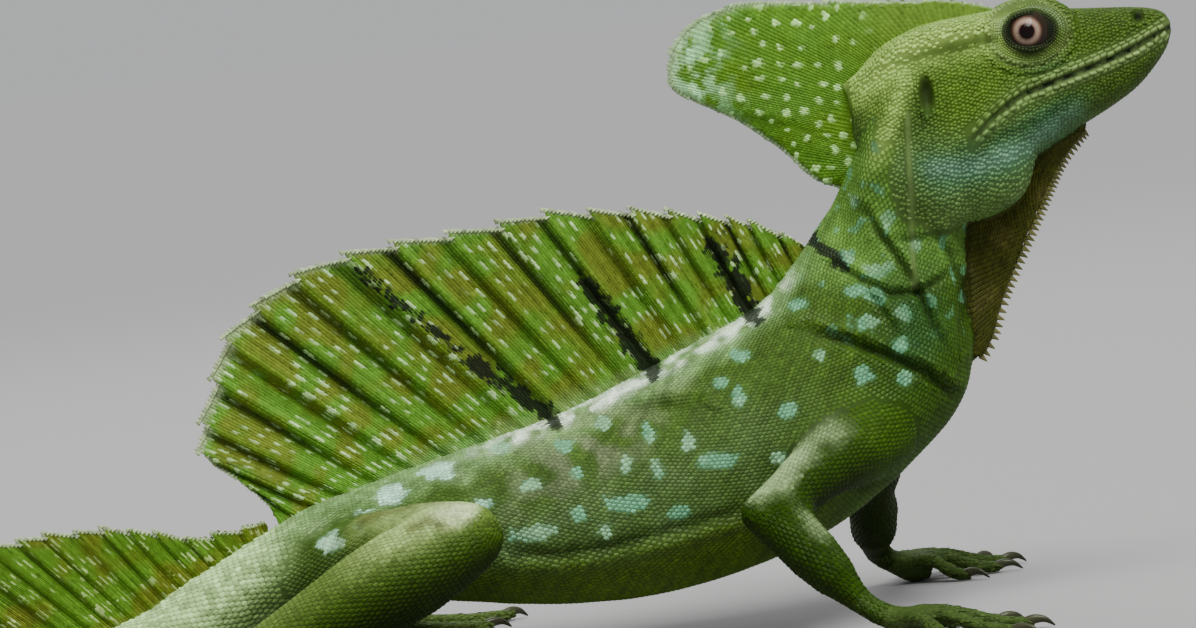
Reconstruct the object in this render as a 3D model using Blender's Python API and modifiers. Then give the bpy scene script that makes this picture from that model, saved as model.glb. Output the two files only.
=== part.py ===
"""Green basilisk, a still life-size model of an adult male that stands on the floor.

The animal looks along +X with its left side towards +Y and the floor at Z = 0. The sizes in the
tables are millimetres, measured from a point on the floor below the chin. The finished objects are
in metres, and the origin is on the floor below the middle of the whole animal, tail included.
"""

import math

import bmesh
import bpy
from mathutils import Matrix, Vector

MM = 0.001
JOIN_GAP = 0.30 * MM
CENTRE_X = -270.5 * MM
CENTRE_Y = 0.0 * MM

# Body sections from the nape to the tip of the tail: the highest point (x, z), the lowest point
# (x, z), half the width, and how far the section lies to the left.
BODY_SECTIONS = (
    (-4.0, 94.0, 12.0, 84.0, 9.5, 0.0),
    (-9.0, 85.5, 12.0, 76.0, 9.3, 0.0),
    (-13.0, 78.5, 10.5, 67.0, 9.4, 0.0),
    (-17.5, 73.3, 9.8, 57.5, 10.6, 0.0),
    (-22.0, 68.0, 10.2, 48.5, 12.8, 0.0),
    (-27.5, 62.8, 7.0, 38.8, 15.0, 0.0),
    (-34.5, 59.0, -2.5, 29.5, 16.6, 0.0),
    (-44.0, 55.3, -16.0, 20.3, 17.3, 0.0),
    (-55.0, 50.8, -33.0, 13.6, 18.3, 0.0),
    (-68.0, 46.2, -52.0, 10.0, 19.0, 0.0),
    (-82.0, 42.8, -72.0, 10.2, 18.6, 0.0),
    (-96.0, 39.6, -90.0, 13.0, 16.0, 0.0),
    (-109.0, 36.6, -105.0, 14.8, 13.0, 0.0),
    (-120.0, 33.8, -116.5, 14.6, 10.6, 0.0),
    (-131.0, 28.6, -126.5, 11.6, 9.2, 0.0),
    (-142.0, 22.8, -137.0, 6.9, 8.3, 0.0),
    (-152.5, 17.6, -148.5, 1.9, 7.6, 0.0),
    (-165.0, 14.2, -163.5, -0.3, 7.0, 0.2),
    (-190.0, 12.3, -190.0, -0.3, 6.1, 1.2),
    (-230.0, 10.6, -230.0, -0.3, 5.3, 4.2),
    (-285.0, 8.8, -285.0, -0.3, 4.4, 9.2),
    (-345.0, 7.1, -345.0, -0.3, 3.5, 13.0),
    (-410.0, 5.4, -410.0, -0.3, 2.7, 11.5),
    (-475.0, 4.0, -475.0, -0.25, 1.9, 4.0),
    (-540.0, 2.7, -540.0, -0.2, 1.3, -7.0),
    (-595.0, 1.5, -595.0, -0.1, 0.8, -17.0),
)
BODY_SIDES = 24
TAIL_SIDES = 14
WIDEST_AT = 0.46
BACK_POWER = 1.85
BELLY_POWER = 2.3

# Each length of the body: its first and last section, and its number of rings.
BODY_LENGTHS = {
    "neck": (0.0, 4.0, 9),
    "torso": (4.0, 13.2, 21),
    "tail_base": (13.2, 17.0, 9),
    "tail_upper": (17.0, 19.0, 7),
    "tail_middle": (19.0, 21.0, 6),
    "tail_lower": (21.0, 23.0, 6),
    "tail_tip": (23.0, 25.0, 6),
}

# Head sections from the back of the skull to the snout: x, crown height, height of the lips, chin
# height, half the width at the lips.
HEAD_SECTIONS = (
    (-7.5, 99.8, 95.5, 91.0, 3.2),
    (-5.5, 102.6, 93.5, 84.5, 7.2),
    (-1.5, 106.4, 91.0, 78.6, 10.8),
    (3.0, 108.8, 89.3, 76.0, 12.8),
    (8.0, 110.3, 88.0, 75.9, 13.5),
    (13.6, 110.9, 88.3, 77.6, 13.2),
    (18.5, 111.2, 91.8, 79.7, 12.2),
    (24.0, 111.5, 95.0, 82.2, 10.9),
    (30.0, 111.0, 96.7, 85.2, 9.6),
    (36.0, 110.0, 98.2, 88.1, 8.0),
    (42.0, 109.4, 99.8, 91.0, 6.5),
    (47.0, 108.9, 101.4, 94.0, 5.3),
    (51.0, 108.2, 103.1, 97.8, 4.1),
    (53.3, 107.1, 104.1, 100.8, 2.8),
    (54.4, 105.6, 104.5, 103.3, 1.2),
)
HEAD_RINGS = 24
CROWN_STEPS = 7
CHIN_STEPS = 5
CROWN_POWER = 2.6
CHIN_POWER = 2.0
MOUTH_CORNER_X = 13.6
LIP_HEIGHT = 1.0
LIP_RISE = 0.35
MOUTH_DEPTH = 0.9

EYE_CENTRE = (28.1, 6.2, 106.7)
EYE_RADIUS = 5.1
BROW_CENTRE = (27.7, 4.6, 106.2)
BROW_RADII = (9.4, 5.2, 6.9)
LID_OPENING = (5.3, 4.2)
LID_THICKNESS = 0.9
LID_OUT = 8.7
LID_LEAN = (8.0, 12.0)
NOSTRIL = (48.3, 4.3, 107.0)
NOSTRIL_RADIUS = 0.75
EAR = (6.0, 13.0, 97.2)
EAR_RADII = (1.5, 1.2, 3.2)

# Crest outlines. Each row is a share of the way along the base, and the free edge (x, z) there.
BACK_CREST_EDGE = (
    (0.00, -19.5, 72.3),
    (0.05, -23.0, 74.6),
    (0.10, -28.2, 76.7),
    (0.20, -37.7, 79.9),
    (0.30, -50.6, 82.3),
    (0.40, -66.6, 83.6),
    (0.50, -85.3, 82.2),
    (0.60, -105.0, 80.6),
    (0.65, -115.0, 77.6),
    (0.70, -123.0, 72.6),
    (0.75, -129.0, 67.0),
    (0.80, -132.8, 60.0),
    (0.85, -135.5, 52.0),
    (0.90, -136.2, 46.3),
    (0.95, -130.5, 41.0),
    (1.00, -124.5, 35.2),
)
BACK_CREST_FROM, BACK_CREST_TO = 3.55, 13.35
BACK_CREST_RAYS = 20
TAIL_CREST_EDGE = (
    (0.00, -126.5, 32.4),
    (0.06, -133.0, 31.0),
    (0.10, -139.0, 30.6),
    (0.14, -144.5, 31.9),
    (0.195, -151.5, 33.6),
    (0.26, -159.5, 34.6),
    (0.33, -169.0, 34.6),
    (0.40, -178.0, 33.6),
    (0.46, -188.0, 32.6),
    (0.60, -216.0, 30.0),
    (0.73, -255.0, 25.0),
    (0.87, -305.0, 16.5),
    (0.94, -332.0, 11.5),
    (1.00, -350.0, 7.6),
)
TAIL_CREST_FROM, TAIL_CREST_TO = 13.55, 21.0
TAIL_CREST_RAYS = 25
HEAD_CREST_BASE = (
    (0.00, 20.5, 108.8),
    (0.18, 8.0, 108.0),
    (0.32, -0.5, 104.5),
    (0.55, -4.0, 97.0),
    (0.80, -6.5, 89.0),
    (1.00, -7.5, 83.5),
)
HEAD_CREST_EDGE = (
    (0.00, 21.5, 111.9),
    (0.08, 15.8, 113.6),
    (0.16, 7.0, 114.9),
    (0.25, -4.6, 116.1),
    (0.33, -15.0, 117.5),
    (0.42, -27.0, 118.3),
    (0.50, -35.0, 116.0),
    (0.58, -39.9, 110.4),
    (0.66, -40.4, 105.4),
    (0.72, -36.5, 101.8),
    (0.80, -28.2, 96.9),
    (0.88, -21.2, 90.8),
    (0.95, -15.6, 84.6),
    (1.00, -11.0, 82.0),
)
DEWLAP_BASE = (
    (0.00, 34.0, 89.0),
    (0.30, 20.0, 83.0),
    (0.50, 10.0, 77.0),
    (0.70, 7.5, 65.0),
    (0.85, 8.0, 55.0),
    (1.00, 6.0, 46.0),
)
DEWLAP_EDGE = (
    (0.00, 36.5, 87.0),
    (0.20, 31.2, 81.2),
    (0.40, 27.2, 74.6),
    (0.60, 22.6, 66.6),
    (0.80, 17.6, 57.4),
    (0.93, 14.6, 50.2),
    (1.00, 12.0, 46.6),
)
CREST_SINK = 3.0
# Where the columns of a crest lie between one ray and the next.
RAY_STEPS = (0.0, 0.24, 0.76)

# Limbs on the right side, which is -Y: joints as (x, how far out from the middle, z), then the
# radius there. The left side has its own stance.
FORELEG_RIGHT = ((-8.0, 9.0, 37.5), (-32.6, 30.0, 26.3), (-16.8, 36.5, 6.2))
FORELEG_LEFT = ((-8.0, 9.0, 37.5), (-10.0, 31.0, 20.4), (-10.5, 48.0, 6.2))
HINDLEG_RIGHT = ((-117.0, 5.0, 21.0), (-86.0, 34.5, 26.6), (-137.0, 38.0, 7.4))
HINDLEG_LEFT = ((-117.0, 5.0, 21.0), (-90.0, 35.5, 25.0), (-139.0, 40.5, 7.4))
# Shares of the way along each bone, with the radius there in millimetres.
UPPER_ARM_SHAPE = ((-0.18, 2.5), (0.0, 7.6), (0.3, 7.2), (0.6, 5.8), (0.88, 5.0), (1.1, 4.6), (1.2, 2.0))
FOREARM_SHAPE = ((-0.16, 2.0), (-0.06, 4.4), (0.2, 5.5), (0.5, 4.7), (0.8, 3.6), (1.02, 3.1), (1.14, 1.4))
THIGH_SHAPE = ((-0.12, 3.0), (0.0, 8.2), (0.3, 9.0), (0.6, 7.8), (0.9, 6.2), (1.04, 5.0), (1.12, 2.2))
SHANK_SHAPE = ((-0.1, 2.2), (-0.04, 5.0), (0.2, 6.9), (0.45, 6.7), (0.75, 4.6), (1.0, 3.4), (1.08, 1.6))
LIMB_SIDES = 12

# Digits of a hand and a foot: the angle from the limb's heading, the length and the thickness.
# A positive angle turns away from the body.
HAND_DIGITS = ((-48.0, 9.5, 1.5), (-22.0, 16.0, 1.55), (0.0, 20.5, 1.6), (20.0, 20.5, 1.55), (46.0, 14.0, 1.45))
FOOT_DIGITS = ((-34.0, 15.0, 1.6), (-16.0, 24.0, 1.7), (-2.0, 34.0, 1.75), (12.0, 43.0, 1.8), (40.0, 26.0, 1.6))
HAND_HEADING = {-1: 10.0, 1: 22.0}
FOOT_HEADING = {-1: 14.0, 1: 17.0}
PALM = (10.0, 4.2, 2.9)
SOLE = (21.0, 4.6, 3.0)
CLAW_LENGTH = 4.2
# How high a toe is carried, as a share of its radius, and how far a pad is pressed into the floor.
FLOOR_SHARE = 0.52
PAD_PRESS = 1.3
DIGIT_SIDES = 6
CLAW_SIDES = 5

COLOURS = {
    "skin": (0.13, 0.26, 0.05),
    "crest": (0.12, 0.24, 0.03),
    "throat": (0.10, 0.10, 0.03),
    "eye": (0.45, 0.25, 0.16),
}


# Numbers and curves


def mix(a, b, share):
    """Linear mix of two numbers or vectors."""
    return a + (b - a) * share


def row_at(rows, place):
    """The row at a fractional place in a table, on a smooth curve through its rows."""
    last = len(rows) - 1
    place = min(max(place, 0.0), float(last))
    first = min(int(place), last - 1)
    t = place - first
    p1, p2 = rows[first], rows[first + 1]
    p0 = rows[max(first - 1, 0)]
    p3 = rows[min(first + 2, last)]
    return tuple(
        0.5 * (2 * b + (c - a) * t + (2 * a - 5 * b + 4 * c - d) * t * t + (3 * b - a - 3 * c + d) * t**3)
        for a, b, c, d in zip(p0, p1, p2, p3)
    )


def row_for(rows, key):
    """The smooth row whose first value is key. The first values rise from row to row."""
    last = len(rows) - 1
    for i in range(last):
        if key <= rows[i + 1][0] or i == last - 1:
            span = rows[i + 1][0] - rows[i][0]
            return row_at(rows, i + min(max((key - rows[i][0]) / span, 0.0), 1.0))


def power_arc(angle, power):
    """Cosine and sine of an angle on a rounded box: 2 is an ellipse, and more is boxier."""
    c, s = math.cos(angle), math.sin(angle)
    return (
        math.copysign(abs(c) ** (2.0 / power), c),
        math.copysign(abs(s) ** (2.0 / power), s),
    )


# Meshes and objects

PARTS = bpy.data.collections.new("green_basilisk")
ROOT = bpy.data.objects.new("basilisk", None)


def clear_scene():
    """Empties the file and links the collection that holds the animal."""
    for obj in list(bpy.data.objects):
        if obj is not ROOT:
            bpy.data.objects.remove(obj)
    bpy.context.scene.collection.children.link(PARTS)
    PARTS.objects.link(ROOT)


def material(name):
    """A Principled material in one of the animal's plain colours."""
    found = bpy.data.materials.get(name)
    if found:
        return found
    made = bpy.data.materials.new(name)
    made.use_nodes = True
    shader = made.node_tree.nodes["Principled BSDF"]
    shader.inputs["Base Color"].default_value = (*COLOURS[name], 1.0)
    shader.inputs["Roughness"].default_value = 0.15 if name == "eye" else 0.55
    shader.inputs["Metallic"].default_value = 0.0
    return made


def new_object(name, bm, colour="skin"):
    """Turns a bmesh into an object of the animal's collection."""
    mesh = bpy.data.meshes.new(name)
    bm.to_mesh(mesh)
    bm.free()
    mesh.materials.append(material(colour))
    obj = bpy.data.objects.new(name, mesh)
    PARTS.objects.link(obj)
    return obj


def loft(rings):
    """A closed bmesh through rings of points, each end closed by a fan on its middle point."""
    bm = bmesh.new()
    made = [[bm.verts.new(p) for p in ring] for ring in rings]
    sides = len(made[0])
    for a, b in zip(made, made[1:]):
        for i in range(sides):
            j = (i + 1) % sides
            bm.faces.new((a[i], a[j], b[j], b[i]))
    for ring, turned in ((made[0], True), (made[-1], False)):
        middle = bm.verts.new(sum((v.co for v in ring), Vector()) / sides)
        for i in range(sides):
            j = (i + 1) % sides
            corners = (middle, ring[j], ring[i]) if turned else (middle, ring[i], ring[j])
            bm.faces.new(corners)
    bmesh.ops.recalc_face_normals(bm, faces=bm.faces)
    return bm


def replace_mesh(obj):
    """Bakes an object's modifiers into its mesh."""
    graph = bpy.context.evaluated_depsgraph_get()
    mesh = bpy.data.meshes.new_from_object(obj.evaluated_get(graph), depsgraph=graph)
    obj.modifiers.clear()
    obj.data = mesh


def keep_largest(obj):
    """Keeps only the largest closed surface of an object."""
    bm = bmesh.new()
    bm.from_mesh(obj.data)
    left, groups = set(bm.verts), []
    while left:
        group, edge = set(), [left.pop()]
        while edge:
            vert = edge.pop()
            group.add(vert)
            for e in vert.link_edges:
                other = e.other_vert(vert)
                if other in left:
                    left.discard(other)
                    edge.append(other)
        groups.append(group)
    groups.sort(key=len)
    for group in groups[:-1]:
        bmesh.ops.delete(bm, geom=list(group), context="VERTS")
    bm.to_mesh(obj.data)
    bm.free()


def combine(obj, others, operation, solver="EXACT"):
    """One Boolean of a collection of closed objects on obj, applied, with the others removed."""
    group = bpy.data.collections.new("pieces")
    for other in others:
        PARTS.objects.unlink(other)
        group.objects.link(other)
    bpy.context.scene.collection.children.link(group)
    modifier = obj.modifiers.new("combine", "BOOLEAN")
    modifier.operation = operation
    modifier.solver = solver
    modifier.operand_type = "COLLECTION"
    modifier.collection = group
    replace_mesh(obj)
    for other in others:
        bpy.data.objects.remove(other)
    bpy.data.collections.remove(group)


def trim(obj, point, normal):
    """Cuts off what lies past a plane, on the side that its normal points to, and closes the cut."""
    bm = bmesh.new()
    bm.from_mesh(obj.data)
    cut = bmesh.ops.bisect_plane(
        bm,
        geom=bm.verts[:] + bm.edges[:] + bm.faces[:],
        dist=1e-7,
        plane_co=point,
        plane_no=normal,
        clear_outer=True,
    )
    rim = [e for e in cut["geom_cut"] if isinstance(e, bmesh.types.BMEdge)]
    bmesh.ops.holes_fill(bm, edges=rim, sides=0)
    bmesh.ops.recalc_face_normals(bm, faces=bm.faces)
    bm.to_mesh(obj.data)
    bm.free()


def ellipsoid(name, centre, radii, segments=20, rings=12, colour="skin"):
    """A closed ball stretched along X, Y and Z. The sizes are millimetres."""
    bm = bmesh.new()
    bmesh.ops.create_uvsphere(bm, u_segments=segments, v_segments=rings, radius=MM)
    bmesh.ops.scale(bm, vec=radii, verts=bm.verts)
    bmesh.ops.translate(bm, vec=Vector(centre) * MM, verts=bm.verts)
    return new_object(name, bm, colour)


# Body lengths


def body_axis(place):
    """Direction in which the body runs, from head to tail, at a place in the section table."""
    before, after = row_at(BODY_SECTIONS, place - 0.05), row_at(BODY_SECTIONS, place + 0.05)
    middle = [Vector(((r[0] + r[2]) / 2, r[5], (r[1] + r[3]) / 2)) for r in (before, after)]
    return (middle[1] - middle[0]).normalized()


def body_ring(place, sides, grow=0.0, along=0.0):
    """Ring of points round the body. Grow widens it, and along moves it, both in metres."""
    top_x, top_z, low_x, low_z, half, left = row_at(BODY_SECTIONS, place)
    top, low = Vector((top_x, left, top_z)) * MM, Vector((low_x, left, low_z)) * MM
    middle = mix(low, top, WIDEST_AT)
    up, down = top - middle, low - middle
    up += up.normalized() * grow
    down += down.normalized() * grow
    axis = body_axis(place)
    side = axis.cross(up).normalized() * (half * MM + grow)
    ring = []
    for i in range(sides):
        angle = 2 * math.pi * i / sides
        c, s = power_arc(angle, BACK_POWER if math.cos(angle) > 0 else BELLY_POWER)
        point = middle + (up * c if c > 0 else down * -c) + side * s + axis * along
        point.z = max(point.z, -grow)
        ring.append(point)
    return ring


def body_length(name, first, last, count, grow=0.0):
    """One length of the body between two places, with half the joining gap left at each end."""
    sides = TAIL_SIDES if first >= 17.0 else BODY_SIDES
    rings = []
    for i in range(count):
        share = i / (count - 1)
        along = {0: 1.0, count - 1: -1.0}.get(i, 0.0) * (JOIN_GAP / 2 if grow == 0 else -JOIN_GAP)
        rings.append(body_ring(mix(first, last, share), sides, grow, along))
    return new_object(name, loft(rings))


def grown_body():
    """The whole body from nape to tail, larger by the joining gap, for cutting what grows on it."""
    return body_length("grown_body", 0.0, 22.0, 70, JOIN_GAP)


# Head


def head_half(place, grow):
    """One side of a head section, from the crown to the chin, as (out, up) pairs in metres."""
    x, crown, lips, chin, half = row_at(HEAD_SECTIONS, place)
    half += grow / MM
    crown += grow / MM
    chin -= grow / MM
    mouth = min(max((x - MOUTH_CORNER_X) / 4.0, 0.0), 1.0)
    lip = LIP_HEIGHT * min(1.0, (crown - chin) / 14.0)
    pairs = []
    for i in range(CROWN_STEPS):
        c, s = power_arc(0.5 * math.pi * i / CROWN_STEPS, CROWN_POWER)
        pairs.append((half * s, mix(lips + lip, crown, c)))
    rise = LIP_RISE * mouth
    depth = min(MOUTH_DEPTH, half * 0.4) * mouth if grow == 0 else 0.0
    pairs.append((half + rise, lips + lip))
    pairs.append((half - depth, lips))
    pairs.append((half + rise * 0.5, lips - lip))
    for i in range(1, CHIN_STEPS + 1):
        c, s = power_arc(0.5 * math.pi * (1 - i / CHIN_STEPS), CHIN_POWER)
        pairs.append((half * s, mix(lips - lip, chin, c)))
    return x * MM, [(out * MM, up * MM) for out, up in pairs]


def head_solid(name, grow=0.0):
    """The head from the back of the skull to the snout, with its lips and the line of the mouth."""
    rings = []
    for i in range(HEAD_RINGS):
        x, half = head_half((len(HEAD_SECTIONS) - 1) * i / (HEAD_RINGS - 1), grow)
        if grow and i in (0, HEAD_RINGS - 1):
            x += grow * (-1 if i == 0 else 1)
        left = [Vector((x, out, up)) for out, up in half]
        right = [Vector((x, -out, up)) for out, up in half[-2:0:-1]]
        rings.append(left + right)
    return new_object(name, loft(rings))


def lid_ring(side):
    """The swollen rim of both eyelids round one eye."""
    bpy.ops.mesh.primitive_torus_add(
        major_segments=18,
        minor_segments=6,
        major_radius=1.0 * MM,
        minor_radius=LID_THICKNESS / LID_OPENING[1] * MM,
        rotation=(math.pi / 2, 0, 0),
    )
    ring = bpy.context.object
    for owner in list(ring.users_collection):
        owner.objects.unlink(ring)
    PARTS.objects.link(ring)
    tall, out = LID_OPENING[1], side * LID_OUT
    place = Matrix.Translation(Vector((EYE_CENTRE[0], out, EYE_CENTRE[2])) * MM)
    tip, turn = (math.radians(side * angle) for angle in LID_LEAN)
    lean = Matrix.Rotation(tip, 4, "X") @ Matrix.Rotation(-turn, 4, "Z")
    stretch = Matrix.Diagonal((LID_OPENING[0], tall, tall, 1.0))
    ring.data.transform(place @ lean @ stretch @ ring.matrix_world)
    ring.matrix_world = Matrix.Identity(4)
    return ring


def build_head():
    """The head with brows, lids, eye sockets, nostrils and ears."""
    head = head_solid("head")
    added, cut = [], []
    for side in (-1, 1):
        x, out, z = BROW_CENTRE
        added.append(ellipsoid("brow", (x, side * out, z), BROW_RADII, 20, 12))
        added.append(lid_ring(side))
        x, out, z = EYE_CENTRE
        socket = EYE_RADIUS + JOIN_GAP / MM
        cut.append(ellipsoid("socket", (x, side * out, z), (socket,) * 3, 20, 12))
        x, out, z = NOSTRIL
        cut.append(ellipsoid("nostril", (x, side * out, z), (NOSTRIL_RADIUS,) * 3, 8, 6))
        x, out, z = EAR
        cut.append(ellipsoid("ear", (x, side * out, z), EAR_RADII, 12, 8))
    combine(head, added, "UNION")
    combine(head, cut, "DIFFERENCE")
    keep_largest(head)


def build_eyes():
    """The two eyeballs."""
    for name, side in (("eye_right", -1), ("eye_left", 1)):
        x, out, z = EYE_CENTRE
        ellipsoid(name, (x, side * out, z), (EYE_RADIUS,) * 3, 18, 12, "eye")


# Crests and dewlap


def flat_point(row):
    """A table row of share, x and z as a point in the middle plane."""
    return Vector((row[1], 0.0, row[2])) * MM


def back_line(first, last):
    """A function from a share to a point sunk below the ridge of the back or tail."""

    def point(share):
        row = row_at(BODY_SECTIONS, mix(first, last, share))
        top, low = Vector((row[0], row[5], row[1])), Vector((row[2], row[5], row[3]))
        return (top + (low - top).normalized() * CREST_SINK) * MM

    return point


def crest(name, base, edge, rays, rows, thick, colour, sway=0.0, scallop=0.0, ray_swell=0.0):
    """A thin upright fin between two lines, with a narrow ridge along each of its rays.

    Base and edge are functions of a share. Thick holds the full thickness at the base and at the
    edge in millimetres, and ray_swell is how much a ray adds to it.
    """
    steps = len(RAY_STEPS)
    columns = rays * steps + 1
    bm = bmesh.new()
    bmesh.ops.create_grid(bm, x_segments=columns - 1, y_segments=rows, size=1.0)
    bm.verts.ensure_lookup_table()
    deform = bm.verts.layers.deform.new()
    most = max(thick) + ray_swell
    for vert in bm.verts:
        column = round((vert.co.x + 1) / 2 * (columns - 1))
        up = (vert.co.y + 1) / 2
        share = (column // steps + RAY_STEPS[column % steps]) / rays
        on_ray = column % steps == 0
        low, high = base(share), edge(share)
        reach = (high - low).normalized() * (scallop * MM if on_ray else 0.0)
        point = mix(low, high + reach, up)
        point.y += sway * MM * up * math.sin(share * 9.0)
        vert.co = point
        thickness = mix(thick[0], thick[1], up) + (ray_swell * (1 - 0.5 * up) if on_ray else 0.0)
        vert[deform][0] = thickness / most
    bmesh.ops.triangulate(bm, faces=bm.faces)
    obj = new_object(name, bm, colour)
    obj.vertex_groups.new(name="thickness")
    shell = obj.modifiers.new("thickness", "SOLIDIFY")
    shell.thickness = most * MM
    shell.offset = 0.0
    shell.vertex_group = "thickness"
    replace_mesh(obj)
    bm = bmesh.new()
    bm.from_mesh(obj.data)
    bmesh.ops.recalc_face_normals(bm, faces=bm.faces)
    bm.to_mesh(obj.data)
    bm.free()
    return obj


def build_crests():
    """The crests of head, back and tail, and the dewlap, each cut clear of what it grows on."""
    made = [
        crest(
            "back_crest",
            back_line(BACK_CREST_FROM, BACK_CREST_TO),
            lambda share: flat_point(row_for(BACK_CREST_EDGE, share)),
            BACK_CREST_RAYS,
            8,
            (1.3, 0.6),
            "crest",
            sway=0.9,
            scallop=1.3,
            ray_swell=1.2,
        ),
        crest(
            "tail_crest",
            back_line(TAIL_CREST_FROM, TAIL_CREST_TO),
            tail_edge,
            TAIL_CREST_RAYS,
            4,
            (1.2, 0.6),
            "crest",
            sway=0.5,
            scallop=1.1,
            ray_swell=1.0,
        ),
        crest(
            "head_crest",
            lambda share: flat_point(row_for(HEAD_CREST_BASE, share)),
            lambda share: flat_point(row_for(HEAD_CREST_EDGE, share)),
            7,
            6,
            (3.6, 0.9),
            "crest",
            sway=0.8,
        ),
        crest(
            "dewlap",
            lambda share: flat_point(row_for(DEWLAP_BASE, share)),
            lambda share: flat_point(row_for(DEWLAP_EDGE, share)),
            6,
            4,
            (4.4, 1.3),
            "throat",
            sway=0.5,
        ),
    ]
    for obj in made:
        cutters = [head_solid("grown_head", JOIN_GAP), grown_body()]
        for cutter in cutters:
            combine(obj, [cutter], "DIFFERENCE")
        keep_largest(obj)


def tail_edge(share):
    """Free edge of the tail's crest, which follows the tail sideways."""
    point = flat_point(row_for(TAIL_CREST_EDGE, share))
    point.y = row_at(BODY_SECTIONS, mix(TAIL_CREST_FROM, TAIL_CREST_TO, share))[5] * MM
    return point


# Limbs


def tube(path, radii, sides, flat=1.0):
    """A closed bmesh round a path. Flat squeezes it in height."""
    rings, side = [], None
    for i, point in enumerate(path):
        ahead = path[min(i + 1, len(path) - 1)] - path[max(i - 1, 0)]
        ahead.normalize()
        if side is None:
            side = ahead.cross(Vector((0, 0, 1)))
            if side.length < 0.1:
                side = Vector((0, 1, 0))
        side = (side - ahead * side.dot(ahead)).normalized()
        up = side.cross(ahead)
        ring = []
        for k in range(sides):
            angle = 2 * math.pi * k / sides
            out = side * math.cos(angle) + up * (math.sin(angle) * flat)
            ring.append(point + out * radii[i])
        rings.append(ring)
    return loft(rings)


def joint(place, side):
    """A joint as a point in metres, on the right where side is -1 and on the left where it is 1."""
    return Vector((place[0], side * place[1], place[2])) * MM


def bone(name, start, end, shape, count=9):
    """The flesh round one bone, from a table of shares along it and radii."""
    path, radii = [], []
    for i in range(count):
        share, radius = row_at(shape, (len(shape) - 1) * i / (count - 1))
        path.append(mix(start, end, share))
        radii.append(radius * MM)
    return new_object(name, tube(path, radii, LIMB_SIDES))


def cut_plane(before, at, after):
    """The plane at a joint, halfway between its two bones: a point and a normal."""
    return at, ((at - before).normalized() + (after - at).normalized()).normalized()


def digit(root, heading, length, radius):
    """A toe or finger that arches from its root to the floor, with its claw, as two objects."""
    arch = (
        (0.0, 0.0, 1.25),
        (0.18, 1.7, 1.15),
        (0.42, 2.0, 1.0),
        (0.68, 0.7, 0.98),
        (0.88, 0.1, 0.95),
        (0.97, 0.1, 0.75),
    )
    floor_height = radius * FLOOR_SHARE
    path, radii = [], []
    for share, lift, swell in arch:
        point = root + heading * (length * share * MM)
        point.z = mix(root.z, floor_height * MM, min(share * 1.3, 1.0)) + lift * MM
        path.append(point)
        radii.append(radius * swell * MM)
    toe = new_object("toe", tube(path, radii, DIGIT_SIDES, 0.9))
    claw_path, claw_radii = [], []
    for share, lift, swell in ((-0.25, 0.3, 0.72), (0.15, 0.8, 0.62), (0.6, 0.55, 0.4), (1.0, -0.7, 0.1)):
        point = root + heading * ((length * 0.95 + CLAW_LENGTH * share) * MM)
        point.z = (floor_height + lift) * MM
        claw_path.append(point)
        claw_radii.append(radius * swell * MM)
    claw = new_object("claw", tube(claw_path, claw_radii, CLAW_SIDES, 1.2))
    return [toe, claw]


def extremity(name, joints, pad, digits, heading_angle, side):
    """A hand or foot: its pad, digits and claws in one piece, flat on the floor."""
    wrist = joints[2]
    turn = math.radians(side * heading_angle)
    heading = Vector((math.cos(turn), math.sin(turn), 0.0))
    length, half_width, height = pad
    front = wrist + heading * (length * MM)
    front.z = (height - PAD_PRESS) * MM
    path = [mix(wrist, front, s) for s in (-0.28, -0.12, 0.2, 0.6, 1.0, 1.15)]
    widths = [half_width * k * MM for k in (0.3, 0.75, 0.95, 1.0, 0.85, 0.35)]
    obj = new_object(name, tube(path, widths, 10, height / half_width))
    pieces = []
    for angle, reach, radius in digits:
        toe_turn = math.radians(side * (heading_angle + angle))
        toe_heading = Vector((math.cos(toe_turn), math.sin(toe_turn), 0.0))
        across = heading.cross(Vector((0, 0, 1))) * -1
        spread = math.sin(math.radians(side * angle)) * half_width * 0.85
        root = mix(wrist, front, 0.62) + across * (spread * MM)
        pieces += digit(root, toe_heading, reach + length * 0.38, radius)
    combine(obj, pieces, "UNION")
    floor = floor_block()
    combine(obj, [floor], "DIFFERENCE")
    keep_largest(obj)
    return obj


def floor_block():
    """A block whose top is the floor, for cutting soles flat."""
    bm = bmesh.new()
    bmesh.ops.create_cube(bm, size=1.0)
    bmesh.ops.scale(bm, vec=(1.4, 0.4, 0.02), verts=bm.verts)
    bmesh.ops.translate(bm, vec=(-0.27, 0.0, -0.01), verts=bm.verts)
    return new_object("floor_block", bm)


def build_limb(names, places, shapes, pad, digits, heading, side):
    """One whole limb: the upper and lower bones' flesh and the hand or foot."""
    joints = [joint(place, side) for place in places]
    turn = math.radians(side * heading)
    toes_at = joints[2] + Vector((math.cos(turn), math.sin(turn), -0.12)) * (20 * MM)
    upper = bone(names[0], joints[0], joints[1], shapes[0])
    lower = bone(names[1], joints[1], joints[2], shapes[1])
    last = extremity(names[2], joints, pad, digits, heading, side)
    for before, after, plane in (
        (upper, lower, cut_plane(joints[0], joints[1], joints[2])),
        (lower, last, cut_plane(joints[1], joints[2], toes_at)),
    ):
        point, normal = plane
        trim(before, point - normal * (JOIN_GAP / 2), normal)
        trim(after, point + normal * (JOIN_GAP / 2), -normal)
        keep_largest(before)
        keep_largest(after)
    combine(upper, [grown_body()], "DIFFERENCE")
    keep_largest(upper)


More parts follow.
